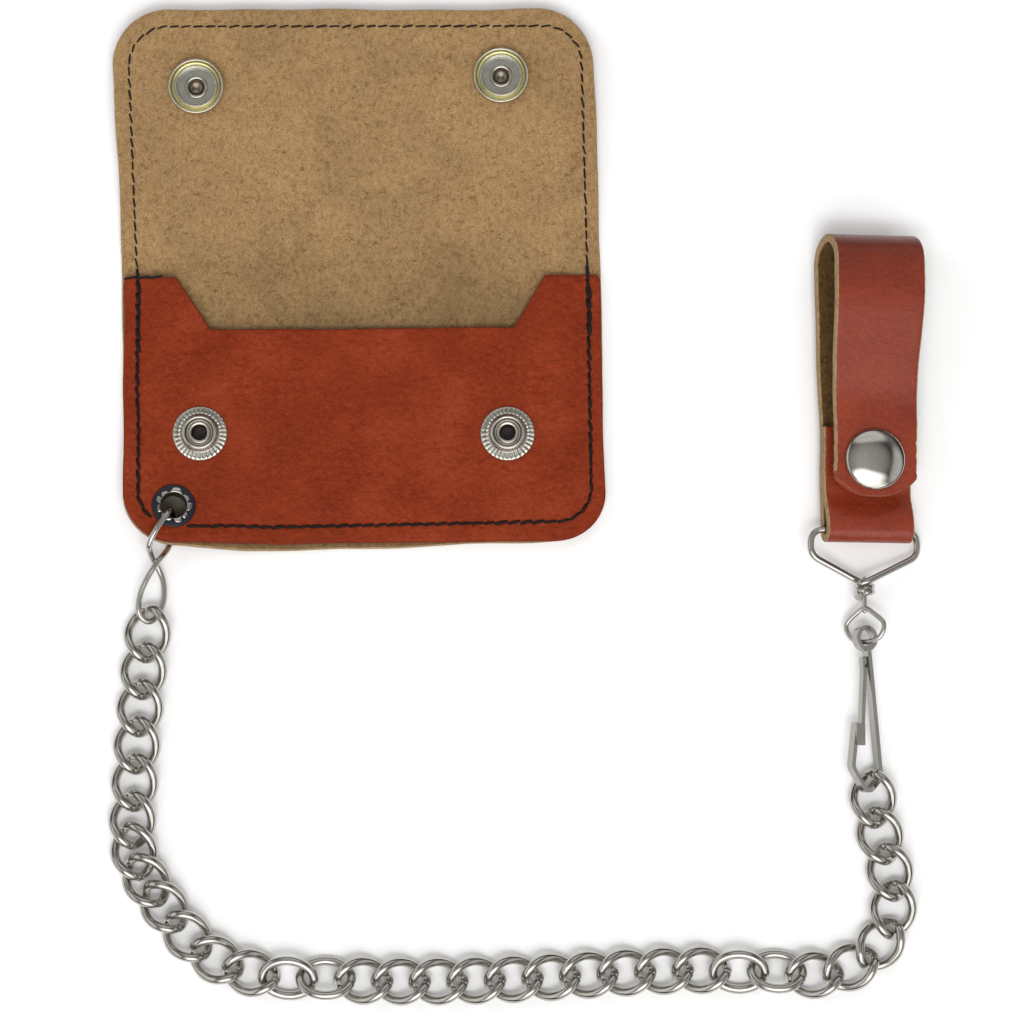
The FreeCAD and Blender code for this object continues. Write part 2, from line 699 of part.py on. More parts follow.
def make_strap_snap():
    """The strap's snap: stud and post on the tab, socket and cap on the front layer."""
    tab = Placement(Vector(SWIVEL.x, SNAP_Y, STRAP_FLOOR + TAB_TOP), Rotation())
    upside_down = Rotation(X_AXIS, 180)
    front = Placement(Vector(SWIVEL.x, SNAP_Y, STRAP_FLOOR + FRONT_LOW), upside_down)
    for label, shape, place in (
        ("strap_stud", snap_stud(), tab),
        ("strap_post", snap_post(TAB_TOP), tab),
        ("strap_socket", snap_socket(), front),
        ("strap_spring", snap_spring(), front),
        ("strap_cap", snap_cap(LEATHER), front),
    ):
        node(label, shape).Placement = STRAP_ROLL.multiply(place)


def make_wire_loop():
    """Five-sided wire loop in the strap's fold, its ends wound round the swivel's shank."""
    half = dim("loop_width") / 2
    level = dim("swivel_z")
    middle = SWIVEL.x
    radius = dim("loop_wire") / 2 + dim("swivel_wire") / 2 + 0.25
    points = [
        (middle + 1.0, -45.2, level + 1.9), (middle + half, -39.2, level), (middle + half, BAR_Y, level),
        (middle - half, BAR_Y, level), (middle - half, -39.2, level), (middle - 1.0, -45.2, level - 1.9),
    ]
    path = rounded_path([Vector(*point) for point in points], 3.0)
    loop = swept_wire(path, dim("loop_wire"))
    coils = []
    for turn in (0, 1):
        ring = Part.makeTorus(radius, dim("loop_wire") / 2, Vector(middle, -46.6 - 1.6 * turn, level), Y_AXIS)
        coils.append(ring)
    balls = []
    for side in (-1, 1):
        centre = Vector(middle + side * 2.5, -49.1, level + side * 0.3)
        balls.append(Part.makeSphere(1.15, centre))
    shape = loop
    for piece in coils + balls:
        shape = shape.fuse(piece)
    node("wire_loop", shape.removeSplitter()).Placement = STRAP_ROLL


def rounded_path(points, radius):
    """An open wire of straight runs joined by arcs of one radius."""
    edges = []
    last_end = points[0]
    for index in range(1, len(points) - 1):
        here = points[index]
        back = (points[index - 1] - here).normalize()
        ahead = (points[index + 1] - here).normalize()
        half_turn = (math.pi - back.getAngle(ahead)) / 2
        reach = radius * math.tan(half_turn)
        middle = (back + ahead).normalize()
        centre = here + middle * (radius / math.cos(half_turn))
        start = here + back * reach
        end = here + ahead * reach
        edges.append(Part.makeLine(last_end, start))
        edges.append(Part.Arc(start, centre - middle * radius, end).toShape())
        last_end = end
    edges.append(Part.makeLine(last_end, points[-1]))
    return Part.Wire(edges)


def make_swivel_eye():
    """Swivel: a headed shank in the coil and a drop-shaped eye round the hook's eye."""
    level = dim("swivel_z")
    middle = SWIVEL.x
    wire = dim("swivel_wire")
    route = [
        (middle, -52.2, level), (middle - 2.4, -53.6, level), (middle - 4.9, -56.4, level),
        (middle - 3.4, -59.7, level), (middle + 0.3, -60.6, level), (middle + 3.9, -59.5, level),
        (middle + 5.0, -56.2, level), (middle + 2.4, -53.6, level),
    ]
    eye = bent_ring(route, wire)
    shank = Part.makeCylinder(wire / 2, 8.4, Vector(middle, -53.0, level), Y_AXIS)
    head = Part.makeCylinder(wire / 2 + 0.55, 0.8, Vector(middle, -45.0, level), Y_AXIS)
    roll = Placement(Vector(), Rotation(Y_AXIS, dim("swivel_roll")), SWIVEL)
    node("swivel_eye", eye.fuse(shank).fuse(head).removeSplitter()).Placement = roll


# ---------------------------------------------------------------- snap hook

HOOK_EYE = Vector(124.6, -59.7, dim("swivel_z") - 0.12)
HOOK_DROP = 1.2


def hook_placement():
    """The hook lies with its eye on the swivel and its end down in the last link."""
    return Placement(HOOK_EYE, Rotation(X_AXIS, HOOK_DROP).multiply(Rotation(Y_AXIS, dim("hook_roll"))))


def make_snap_hook():
    """One strip: an eye at the top, a straight back, a round bottom and a short nose."""
    width = dim("hook_strip_width")
    thick = dim("hook_strip_thickness")
    eye = Part.makeCylinder(2.1 + thick, width, Vector(0, 0, -width / 2))
    eye = eye.cut(Part.makeCylinder(2.1, width * 2, Vector(0, 0, -width)))
    back = [(0.6, -3.0), (1.2, -8.0), (4.0, -34.5), (0.0, -38.6), (-4.6, -32.0), (-3.1, -21.0)]
    strip = bent_strip(back, [6.0, 2.2, 1.8, 2.5], width)
    lip = Part.makeBox(2.7, 5.2, 0.4, Vector(-3.9, -26.6, width / 2))
    shape = eye.fuse(strip).fuse(lip).removeSplitter()
    node("snap_hook", shape).Placement = hook_placement()


def bent_strip(points, radii, width):
    """A strip bent in its own XY plane and standing across it."""
    wire = strip_profile(points, radii, dim("hook_strip_thickness"))
    face = Part.Face(wire)
    # The profile is drawn in the YZ plane: Y becomes X and Z becomes Y.
    turn = Rotation(Vector(0, 0, 1), Vector(1, 0, 0), Vector(0, 1, 0), "XYZ")
    face.Placement = Placement(Vector(), turn)
    solid = face.extrude(Vector(0, 0, width))
    solid.translate(Vector(0, 0, -width / 2))
    return solid


def make_hook_gate():
    """The spring side of the strip, from under the eye to inside the nose."""
    width = dim("hook_strip_width")
    gate = bent_strip([(-0.8, -4.6), (-0.5, -8.0), (-1.6, -26.2)], [10.0], width * 0.8)
    node("hook_gate", gate).Placement = hook_placement().multiply(gate.Placement)


# ---------------------------------------------------------------- build and write

def build_all():
    make_back_panel()
    front_pocket = make_front_pocket()
    make_flap()
    make_pocket_stitching(front_pocket)
    make_flap_stitching()
    make_wallet_snaps()
    make_eyelet()
    make_connector()
    make_chain()
    make_snap_hook()
    make_hook_gate()
    make_swivel_eye()
    make_wire_loop()
    make_strap_back()
    make_strap_front()
    make_strap_snap()
    doc.recompute()


def sound(shape):
    """Whether a shape is made of valid solids that hold some volume."""
    return not shape.isNull() and shape.isValid() and bool(shape.Solids) and shape.Volume > 0


def check_all():
    """Stop if any object failed or any sub-part is not a sound solid."""
    for item in doc.Objects:
        if "Invalid" in item.State or "Error" in item.State:
            raise RuntimeError(item.Label + " failed to compute")
    unsound = [item.Label for item in nodes if not sound(item.Shape)]
    if unsound:
        raise RuntimeError("not valid solids: " + ", ".join(unsound))


def write_all():
    os.makedirs("parts", exist_ok=True)
    for item in nodes:
        item.Shape.exportStep("parts/%s.step" % item.Label)


build_all()
check_all()
write_all()
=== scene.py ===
import json
import math
import random

import bpy
import numpy as np
from mathutils import Matrix, Vector, geometry, noise


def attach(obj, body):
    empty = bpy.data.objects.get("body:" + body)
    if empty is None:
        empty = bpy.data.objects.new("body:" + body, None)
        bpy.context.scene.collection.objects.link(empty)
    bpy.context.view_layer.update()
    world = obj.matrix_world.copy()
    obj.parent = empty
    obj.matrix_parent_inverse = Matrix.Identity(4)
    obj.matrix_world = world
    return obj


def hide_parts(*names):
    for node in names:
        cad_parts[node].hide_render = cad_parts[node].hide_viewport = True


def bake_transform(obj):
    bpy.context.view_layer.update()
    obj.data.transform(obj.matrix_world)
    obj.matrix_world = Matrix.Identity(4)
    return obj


# Chain wallet lying open on a pale table. Lengths in this script are millimetres, and
# meshes are written in metres.

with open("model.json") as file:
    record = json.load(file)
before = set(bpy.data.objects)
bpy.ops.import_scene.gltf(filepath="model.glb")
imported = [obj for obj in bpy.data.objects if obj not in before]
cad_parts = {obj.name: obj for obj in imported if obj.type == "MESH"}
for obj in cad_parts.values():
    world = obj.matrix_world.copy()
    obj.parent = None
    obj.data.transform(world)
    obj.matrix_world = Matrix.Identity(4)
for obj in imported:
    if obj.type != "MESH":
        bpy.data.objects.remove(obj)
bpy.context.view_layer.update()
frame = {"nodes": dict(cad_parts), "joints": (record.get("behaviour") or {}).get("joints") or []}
MM = 0.001
Y_WAY = Vector((0, 1, 0))
Z_WAY = Vector((0, 0, 1))
JOINTS = {joint["name"]: joint for joint in frame["joints"]}

# ---- places shared with the frame

PANEL = 1.6
RIM_TOP = 2 * PANEL
POCKET_ROOM = 0.8
POCKET_TOP = RIM_TOP + POCKET_ROOM
FOLD_POINT = Vector(JOINTS["flap_fold"]["pos_m"]) * 1000
FOLD_WAY = Vector(JOINTS["flap_fold"]["axis"])
SNAP_PLAY = 0.6
TILT = math.radians(180 - SNAP_PLAY - JOINTS["flap_fold"]["range_deg"][1])
EYELET = Vector((-47.6, -27.2, 0))
CORNER_WAY = Vector((-1, -1, 0)).normalized()
CREASE = EYELET - CORNER_WAY * 11.0
CORNER_TURN = math.radians(10.0)
STUDS = [Vector((-40.8, -8.4, POCKET_TOP)), Vector((36.0, -8.4, POCKET_TOP))]
SWIVEL = Vector((124.6, 0, 4.7))
STRAP_FLOOR = SWIVEL.z - 3.15
STRAP_MIDDLE = SWIVEL.x + 0.9
STRAP = 2.0
TAB_TOP = 2 * STRAP + 0.1
FRONT_LOW = TAB_TOP + 4.6
SNAP_Y = -16.0


def about(point, way, angle):
    """Turning by an angle in radians about a line."""
    return Matrix.Translation(point) @ Matrix.Rotation(angle, 4, way) @ Matrix.Translation(-point)


FLAP_TURN = about(FOLD_POINT, FOLD_WAY, TILT)
CORNER_LIFT = about(CREASE, CORNER_WAY.cross(Z_WAY), CORNER_TURN)
STRAP_ROLL = about(SWIVEL, Y_WAY, math.radians(8.0))


def across_fold(point):
    """Where a point of the closed flap lies when the flap is open flat."""
    offset = point - Vector((FOLD_POINT.x, FOLD_POINT.y, point.z))
    along = FOLD_WAY * offset.dot(FOLD_WAY)
    return Vector((FOLD_POINT.x, FOLD_POINT.y, point.z)) + along * 2 - offset


SOCKETS = [across_fold(place) for place in STUDS]

# ---- materials


class Nodes:
    """The nodes of a material or of the world."""

    def __init__(self, owner):
        owner.use_nodes = True
        self.tree = owner.node_tree

    def feed(self, value, socket):
        """Set a socket to a value, or link it to another node's socket."""
        if isinstance(value, (int, float, tuple)):
            socket.default_value = value
        else:
            self.tree.links.new(value, socket)

    def add(self, kind, inputs=None, **settings):
        made = self.tree.nodes.new(kind)
        for key, value in settings.items():
            setattr(made, key, value)
        for key, value in (inputs or {}).items():
            self.feed(value, made.inputs[key])
        return made

    def ramp(self, source, stops):
        made = self.add("ShaderNodeValToRGB", {"Fac": source})
        ramp = made.color_ramp
        while len(ramp.elements) < len(stops):
            ramp.elements.new(0.5)
        for element, (position, color) in zip(ramp.elements, stops):
            element.position = position
            element.color = color if isinstance(color, tuple) else (color, color, color, 1)
        return made.outputs["Color"]

    def mix(self, factor, first, second, blend="MIX"):
        inputs = {0: factor, 6: first, 7: second}
        return self.add("ShaderNodeMix", inputs, data_type="RGBA", blend_type=blend).outputs[2]

    def math(self, operation, first, second):
        return self.add("ShaderNodeMath", {0: first, 1: second}, operation=operation).outputs[0]

    def vector(self, operation, first, second):
        """A node that works on two vectors."""
        return self.add("ShaderNodeVectorMath", {0: first, 1: second}, operation=operation)


class Shader(Nodes):
    """A node material under construction, with coordinates in millimetres."""

    def __init__(self, name):
        self.material = bpy.data.materials.new(name)
        super().__init__(self.material)
        self.surface = self.tree.nodes["Principled BSDF"]
        place = self.add("ShaderNodeTexCoord").outputs["Object"]
        scaled = self.add("ShaderNodeVectorMath", {0: place, "Scale": 1000}, operation="SCALE")
        self.place = scaled.outputs[0]

    def stretched(self, scale):
        """The coordinates stretched by three factors."""
        return self.vector("MULTIPLY", self.place, scale).outputs[0]

    def noise(self, scale, detail=3.0, rough=0.55, place=None, distortion=0.0):
        return self.add("ShaderNodeTexNoise", {
            "Scale": scale, "Detail": detail, "Roughness": rough, "Distortion": distortion,
            "Vector": place or self.place,
        }).outputs["Fac"]

    def cells(self, scale, place):
        made = self.add("ShaderNodeTexVoronoi", {"Scale": scale, "Vector": place}, feature="SMOOTH_F1")
        return made.outputs["Distance"]

    def warped(self, scale, strength):
        """The coordinates pushed about by a noise, so that cells lose their straight sides."""
        shift = self.add("ShaderNodeTexNoise", {"Scale": scale, "Vector": self.place}).outputs["Color"]
        inputs = {0: shift, 1: (strength, strength, strength), 2: self.place}
        return self.add("ShaderNodeVectorMath", inputs, operation="MULTIPLY_ADD").outputs[0]

    def across_y(self, low, high):
        """A factor that goes from 0 at one Y to 1 at another."""
        parts = self.add("ShaderNodeSeparateXYZ", {0: self.place})
        return self.math("DIVIDE", self.math("SUBTRACT", parts.outputs["Y"], low), high - low)

    def bump(self, height, distance, after=None):
        made = self.add("ShaderNodeBump", {"Distance": distance * MM, "Height": height})
        if after:
            self.feed(after, made.inputs["Normal"])
        return made.outputs["Normal"]

    def finish(self, color, roughness, normal=None, **constants):
        self.feed(color, self.surface.inputs["Base Color"])
        self.feed(roughness, self.surface.inputs["Roughness"])
        if normal:
            self.feed(normal, self.surface.inputs["Normal"])
        for key, value in constants.items():
            self.surface.inputs[key.replace("_", " ")].default_value = value
        return self.material


def rgb(red, green, blue):
    """A colour given as it shows on a screen, 0 to 255."""
    def linear(value):
        value /= 255
        return value / 12.92 if value <= 0.04045 else ((value + 0.055) / 1.055) ** 2.4
    return (linear(red), linear(green), linear(blue), 1.0)


def grain_leather(name, dark, middle, light, pebble, roughness, shine, coat=0.0, painted_shade_y=None):
    """Finished leather: soft pebbles, fine pores and slow changes of tone, with painted highlights on
    the pebble tops and crease ridges, painted shade in the crease hollows, and painted shade across a
    span of Y (the strap's top fold).
    """
    shader = Shader(name)
    pressed = shader.stretched((1.0, 1.2, 1.0))
    pebbles = shader.cells(0.62, shader.warped(0.7, 0.9))
    small = shader.cells(1.7, pressed)
    pores = shader.noise(3.2, 4.0, 0.65, place=pressed)
    patches = shader.ramp(shader.noise(0.04, 2.0), [(0.38, 0.3), (0.6, 1.0)])
    tone = shader.ramp(shader.noise(0.07, 3.0, 0.5), [(0.3, dark), (0.5, middle), (0.75, light)])
    cloudy = shader.noise(0.7, 5.0, 0.65, place=pressed)
    color = shader.mix(0.35, tone, shader.ramp(cloudy, [(0.34, dark), (0.66, light)]))
    # Painted highlight: the tops of the small pebbles are coloured lighter.
    pebble_highlights = shader.ramp(small, [(0.05, light), (0.5, middle)])
    color = shader.mix(0.3, color, pebble_highlights)
    creases = shader.noise(0.62, 5.0, 0.6, place=shader.stretched((0.85, 1.5, 1.0)), distortion=1.0)
    # Painted shade in the crease hollows and painted highlight on their ridges, following the crease
    # bumps.
    color = shader.mix(shader.ramp(creases, [(0.34, 0.5), (0.46, 0.0)]), color, dark)
    color = shader.mix(shader.ramp(creases, [(0.58, 0.0), (0.72, 0.55)]), color, light)
    # Painted shade: darker towards the high end of a span of Y, where the strap turns over its top
    # fold.
    if painted_shade_y:
        shade = shader.ramp(shader.across_y(*painted_shade_y), [(0.0, 1.0), (1.0, 0.66)])
        color = shader.mix(1.0, color, shade, "MULTIPLY")
    gloss = shader.ramp(cloudy, [(0.3, roughness - 0.05), (0.7, roughness + 0.08)])
    height = shader.math("MULTIPLY", pebbles, patches)
    normal = shader.bump(height, -0.5 * pebble)
    normal = shader.bump(small, -0.11 * (0.4 + 0.6 * pebble), after=normal)
    normal = shader.bump(pores, 0.07, after=normal)
    normal = shader.bump(creases, 0.35 * pebble, after=normal)
    return shader.finish(
        color, gloss, normal, Specular_IOR_Level=shine, Coat_Weight=coat, Coat_Roughness=0.34)


def suede(name, dark, middle, light, dim_span_y=None):
    """Flesh side of leather: short brushed nap with darker flecks in drifts."""
    shader = Shader(name)
    brushed = shader.stretched((1.0, 0.7, 1.0))
    nap = shader.noise(0.9, 7.0, 0.78, place=brushed, distortion=0.5)
    fine = shader.noise(3.4, 5.0, 0.75, place=brushed)
    drift = shader.noise(0.045, 4.0, 0.6, distortion=0.6)
    base = shader.ramp(nap, [(0.33, dark), (0.46, middle), (0.62, light)])
    grained = shader.mix(0.45, base, shader.ramp(fine, [(0.34, dark), (0.6, light)]))
    shade = shader.ramp(drift, [(0.36, 0.84), (0.58, 1.0)])
    color = shader.mix(1.0, grained, shade, "MULTIPLY")
    flecks = shader.noise(0.75, 4.0, 0.7, place=shader.stretched((0.8, 1.5, 1.0)), distortion=1.2)
    color = shader.mix(shader.ramp(flecks, [(0.56, 0.0), (0.68, 0.75)]), color, dark)
    # Darker towards the low end of a span of Y, near the pocket's mouth, broken up by the drift noise.
    if dim_span_y:
        low_y_dimming = shader.math("ADD", shader.across_y(*dim_span_y), shader.math("MULTIPLY", drift, 0.5))
        color = shader.mix(1.0, color, shader.ramp(low_y_dimming, [(0.25, 0.64), (1.2, 1.0)]), "MULTIPLY")
    normal = shader.bump(nap, 0.3)
    normal = shader.bump(fine, 0.12, after=normal)
    return shader.finish(color, 0.95, normal, Specular_IOR_Level=0.1)


def raw_edge(name, dark, light):
    """Cut edge of leather: fibres in thin layers."""
    shader = Shader(name)
    layers = shader.noise(1.2, 5.0, 0.7, place=shader.stretched((0.6, 0.6, 4.0)))
    color = shader.ramp(layers, [(0.3, dark), (0.65, light)])
    normal = shader.bump(layers, 0.12)
    return shader.finish(color, 0.88, normal, Specular_IOR_Level=0.2)


def plated(name, tone, roughness, scratch=0.012):
    """Nickel plate with faint handling marks and a slightly uneven polish."""
    shader = Shader(name)
    marks = shader.noise(0.8, 6.0, 0.7, place=shader.stretched((1.0, 5.0, 1.0)))
    cloud = shader.noise(0.35, 3.0)
    gloss = shader.ramp(cloud, [(0.3, roughness * 0.7), (0.7, roughness * 1.5)])
    dull = tuple(value * 0.86 for value in tone[:3]) + (1.0,)
    color = shader.ramp(marks, [(0.3, dull), (0.6, tone)])
    normal = shader.bump(marks, scratch)
    return shader.finish(color, gloss, normal, Metallic=1.0)


def waxed_thread(name, dark, light):
    shader = Shader(name)
    twist = shader.noise(3.0, 3.0, 0.6, distortion=1.5)
    color = shader.ramp(twist, [(0.35, dark), (0.7, light)])
    return shader.finish(color, 0.6, shader.bump(twist, 0.08), Specular_IOR_Level=0.35)


def enamel(name, dark, light):
    shader = Shader(name)
    specks = shader.noise(1.6, 5.0, 0.7)
    color = shader.ramp(specks, [(0.35, dark), (0.75, light)])
    gloss = shader.ramp(specks, [(0.3, 0.28), (0.8, 0.5)])
    return shader.finish(color, gloss, shader.bump(specks, 0.03), Specular_IOR_Level=0.5)


WALLET_GRAIN = grain_leather(
    "wallet_grain", rgb(103, 33, 13), rgb(127, 44, 18), rgb(156, 66, 38), 1.0, 0.54, 0.1)
# The strap's grain carries painted shade from Y 24 to 38, over its top fold.
STRAP_GRAIN = grain_leather(
    "strap_grain", rgb(106, 31, 8), rgb(128, 40, 12), rgb(150, 56, 22), 0.4, 0.38, 0.3, 0.45,
    (24.0, 38.0))
# The flap's suede darkens towards the low end of Y 14 to 52, near the pocket's mouth.
FLAP_SUEDE = suede("flap_suede", rgb(98, 68, 35), rgb(160, 127, 86), rgb(186, 153, 110), (14.0, 52.0))
STRAP_SUEDE = suede("strap_suede", rgb(48, 32, 14), rgb(94, 69, 38), rgb(126, 98, 62))
EDGE = raw_edge("raw_edge", rgb(118, 92, 60), rgb(176, 150, 114))
RUST_EDGE = raw_edge("rust_edge", rgb(104, 44, 24), rgb(158, 84, 56))
DARK_EDGE = raw_edge("dyed_edge", rgb(84, 30, 16), rgb(134, 52, 32))
NICKEL = plated("nickel", rgb(192, 188, 182), 0.12)
HOOK_NICKEL = plated("hook_nickel", rgb(172, 169, 163), 0.17)
SNAP_NICKEL = plated("snap_nickel", rgb(202, 197, 186), 0.24)
SOCKET_NICKEL = plated("socket_nickel", rgb(222, 219, 208), 0.2)
CAP_NICKEL = plated("cap_nickel", rgb(194, 190, 182), 0.08, 0.004)
GROOVE = plated("groove_nickel", rgb(206, 198, 148), 0.3)
FLOOR_NICKEL = plated("floor_nickel", rgb(168, 166, 156), 0.26)
DULL = plated("dull_nickel", rgb(142, 132, 118), 0.32)
# Near-black walls for the bores of the posts and the eyelet: painted shade, so that the holes read
# dark.
PAINTED_BORE_SHADE = enamel("bore_painted_shade", rgb(22, 12, 9), rgb(58, 34, 26))
THREAD = waxed_thread("thread", rgb(7, 3, 2), rgb(26, 13, 9))
BLACK = enamel("washer_enamel", rgb(10, 12, 24), rgb(30, 33, 48))

# ---- mesh tools


def linked_object(name, data):
    made = bpy.data.objects.new(name, data)
    bpy.context.scene.collection.objects.link(made)
    return made


def mesh_object(name, points, faces, materials, indices=None):
    """A smooth object from points in millimetres."""
    mesh = bpy.data.meshes.new(name)
    mesh.from_pydata([tuple(float(value) * MM for value in point) for point in points], [], faces)
    for material in materials:
        mesh.materials.append(material)
    if indices is not None:
        mesh.polygons.foreach_set("material_index", indices)
    mesh.polygons.foreach_set("use_smooth", [True] * len(mesh.polygons))
    mesh.update()
    return linked_object(name, mesh)


def moved(points, matrix):
    """Points as rows, moved by a matrix."""
    turn = np.array(matrix)
    return np.asarray(points, float) @ turn[:3, :3].T + turn[:3, 3]


def joined(parts):
    """Several (points, faces) as one."""
    points = []
    faces = []
    for part_points, part_faces in parts:
        base = len(points)
        points.extend(part_points)
        faces.extend([tuple(base + index for index in face) for face in part_faces])
    return points, faces


def smoothstep(low, high, value):
    share = np.clip((value - low) / (high - low), 0, 1)
    return share * share * (3 - 2 * share)


def unit(vector):
    return vector / np.linalg.norm(vector)


def distances(line):
    """How far along a line each of its points is."""
    return np.r_[0, np.cumsum(np.linalg.norm(np.diff(line, axis=0), axis=1))]


def rounded(corners, radii, step, closed=True):
    """A polyline through corners rounded by arcs, with points about a step apart."""
    corners = [np.array(corner, float) for corner in corners]
    count = len(corners)
    stops = []
    for index, (here, radius) in enumerate(zip(corners, radii)):
        at_end = not closed and index in (0, count - 1)
        if at_end or radius == 0:
            stops.append([here])
            continue
        back = unit(corners[index - 1] - here)
        ahead = unit(corners[(index + 1) % count] - here)
        half_turn = (math.pi - math.acos(np.clip(back @ ahead, -1, 1))) / 2
        sweep = 2 * half_turn
        middle = unit(back + ahead)
        centre = here + middle * radius / math.cos(half_turn)
        start = here + back * radius * math.tan(half_turn) - centre
        end = here + ahead * radius * math.tan(half_turn) - centre
        pieces = max(2, int(sweep * radius / step) + 1)
        arc = []
        for piece in range(pieces + 1):
            share = piece / pieces
            spoke = start * math.sin((1 - share) * sweep) + end * math.sin(share * sweep)
            arc.append(centre + spoke / math.sin(sweep))
        stops.append(arc)
    line = []
    for index in range(count if closed else count - 1):
        line.extend(stops[index])
        nearer = stops[index][-1]
        farther = stops[(index + 1) % count][0]
        pieces = int(np.linalg.norm(farther - nearer) / step)
        for piece in range(1, pieces):
            line.append(nearer + (farther - nearer) * piece / pieces)
    if not closed:
        line.extend(stops[-1])
    return np.array(line)


def even(line, step, closed=False):
    """The same line with evenly spaced points."""
    if closed:
        line = np.vstack([line, line[:1]])
    lengths = distances(line)
    count = max(2, round(lengths[-1] / step))
    spots = np.linspace(0, lengths[-1], count + 1)
    spaced = np.column_stack([np.interp(spots, lengths, values) for values in line.T])
    return spaced[:-1] if closed else spaced


def spline_through(points, per_span=10):
    """A smooth closed line through points."""
    points = np.array(points, float)
    line = []
    for index in range(len(points)):
        before, start, end, after = (points[(index + offset) % len(points)] for offset in (-1, 0, 1, 2))
        for piece in range(per_span):
            t = piece / per_span
            line.append(0.5 * (2 * start + (end - before) * t
                               + (2 * before - 5 * start + 4 * end - after) * t ** 2
                               + (3 * start - before - 3 * end + after) * t ** 3))
    return np.array(line)


def quads(rows, columns, closed=False):
    """Faces between rows of points, each row a ring; closed also joins the last row to the first."""
    faces = []
    for row in range(rows if closed else rows - 1):
        base, after = row * columns, (row + 1) % rows * columns
        for column in range(columns):
            beside = (column + 1) % columns
            faces.append((base + column, base + beside, after + beside, after + column))
    return faces


DOME_ANGLES = (0.5, 0.95, 1.3, 1.52)


def tube(line, radius, closed=False, sides=20):
    """(points, faces) of a round wire along a line, with domed ends if it is open."""
    line = np.array(line, float)
    radii = np.full(len(line), float(radius))
    if not closed:
        caps = []
        for end, inner in ((line[0], line[1]), (line[-1], line[-2])):
            way = unit(end - inner)
            caps.append([(end + way * radius * math.sin(angle), radius * math.cos(angle))
                         for angle in DOME_ANGLES])
        head = list(reversed(caps[0]))
        line = np.vstack([[spot for spot, _ in head], line, [spot for spot, _ in caps[1]]])
        radii = np.r_[[size for _, size in head], radii, [size for _, size in caps[1]]]
    count = len(line)
    if closed:
        ways = np.roll(line, -1, 0) - np.roll(line, 1, 0)
    else:
        ways = np.gradient(line, axis=0)
    ways /= np.linalg.norm(ways, axis=1)[:, None]
    side = unit(np.cross(ways[0], (0.0, 0.0, 1.0) if abs(ways[0][2]) < 0.9 else (1.0, 0.0, 0.0)))
    sides_along = []
    for way in ways:
        side = unit(side - way * (side @ way))
        sides_along.append(side)
    twist = 0.0
    if closed:
        first = sides_along[0]
        last = unit(sides_along[-1] - ways[0] * (sides_along[-1] @ ways[0]))
        twist = math.atan2(np.cross(last, first) @ ways[0], last @ first)
    points = []
    for index in range(count):
        extra = twist * index / count
        up = np.cross(ways[index], sides_along[index])
        for corner in range(sides):
            angle = 2 * math.pi * corner / sides + extra
            spoke = sides_along[index] * math.cos(angle) + up * math.sin(angle)
            points.append(line[index] + spoke * radii[index])
    faces = quads(count, sides, closed)
    if not closed:
        faces.append(tuple(range(sides - 1, -1, -1)))
        faces.append(tuple((count - 1) * sides + corner for corner in range(sides)))
    return points, faces


def lathe(profile, segments=96, shape=None):
    """(points, faces) of a profile of (radius, height) turned about Z; shape may change a point."""
    points = []
    for radius, height in profile:
        for segment in range(segments):
            angle = 2 * math.pi * segment / segments
            here = (radius, height) if shape is None else shape(radius, height, angle)
            points.append((here[0] * math.cos(angle), here[0] * math.sin(angle), here[1]))
    return points, quads(len(profile), segments)


def soft_profile(corners, radii, step=0.12):
    """A profile whose corners are rounded."""
    return [tuple(point) for point in rounded(corners, radii, step, closed=False)]


def settle(made, body, replaced):
    """Put a piece on a body, in place of CAD nodes."""
    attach(made, body)
    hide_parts(*replaced)


def bend_at_fold(made, replaced):
    """Bake a piece's place into its mesh, in place of CAD nodes, and leave it on no body."""
    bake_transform(made)
    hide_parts(*replaced)


# ---- leather of the wallet

BEND = 3.0


def lift_corner(points):
    """Bend the corner at the eyelet up, softly across its crease."""
    way = np.array(CORNER_WAY)
    past = (points - np.array(CREASE)) @ way
    run = (past + np.sqrt(past ** 2 + BEND ** 2)) / 2
    height = points[:, 2] * smoothstep(-BEND, BEND, past)
    rise, shrink = math.sin(CORNER_TURN), 1 - math.cos(CORNER_TURN)
    out = points.copy()
    out[:, 2] += rise * run - shrink * height
    out -= way[None, :] * (shrink * run + rise * height)[:, None]
    return out


def lean_flap(points):
    """Turn what lies past the fold line up with the flap."""
    side = np.array(Z_WAY.cross(FOLD_WAY))
    past = (points - np.array(FOLD_POINT)) @ side
    share = smoothstep(-BEND, BEND, past)[:, None]
    return points * (1 - share) + moved(points, FLAP_TURN) * share


def waves(points, scale, size, seed):
    """Slow unevenness for a surface."""
    places = points[:, :2] * scale
    return size * np.array([noise.noise(Vector((x, y, seed))) for x, y in places])


def cut_edge(outline, size, seed):
    """Hand-cut waviness along an outline."""
    shifts = [waves(outline, 0.06, size, turn) for turn in (seed, seed + 9)]
    return outline + np.column_stack(shifts)


def inside(polygon, points):
    """Which points lie in a polygon."""
    x, y = points[:, 0], points[:, 1]
    hit = np.zeros(len(points), bool)
    previous = polygon[-1]
    for corner in polygon:
        crossing = (corner[1] > y) != (previous[1] > y)
        slope = (previous[0] - corner[0]) / (previous[1] - corner[1] + 1e-12)
        hit ^= crossing & (x < corner[0] + slope * (y - corner[1]))
        previous = corner
    return hit


def inward(loop):
    """Unit vectors into the leather on the left of a closed loop."""
    way = np.roll(loop, -1, 0) - np.roll(loop, 1, 0)
    way /= np.linalg.norm(way, axis=1)[:, None] + 1e-12
    return np.column_stack([-way[:, 1], way[:, 0]])


SHEET_RIM = 0.3


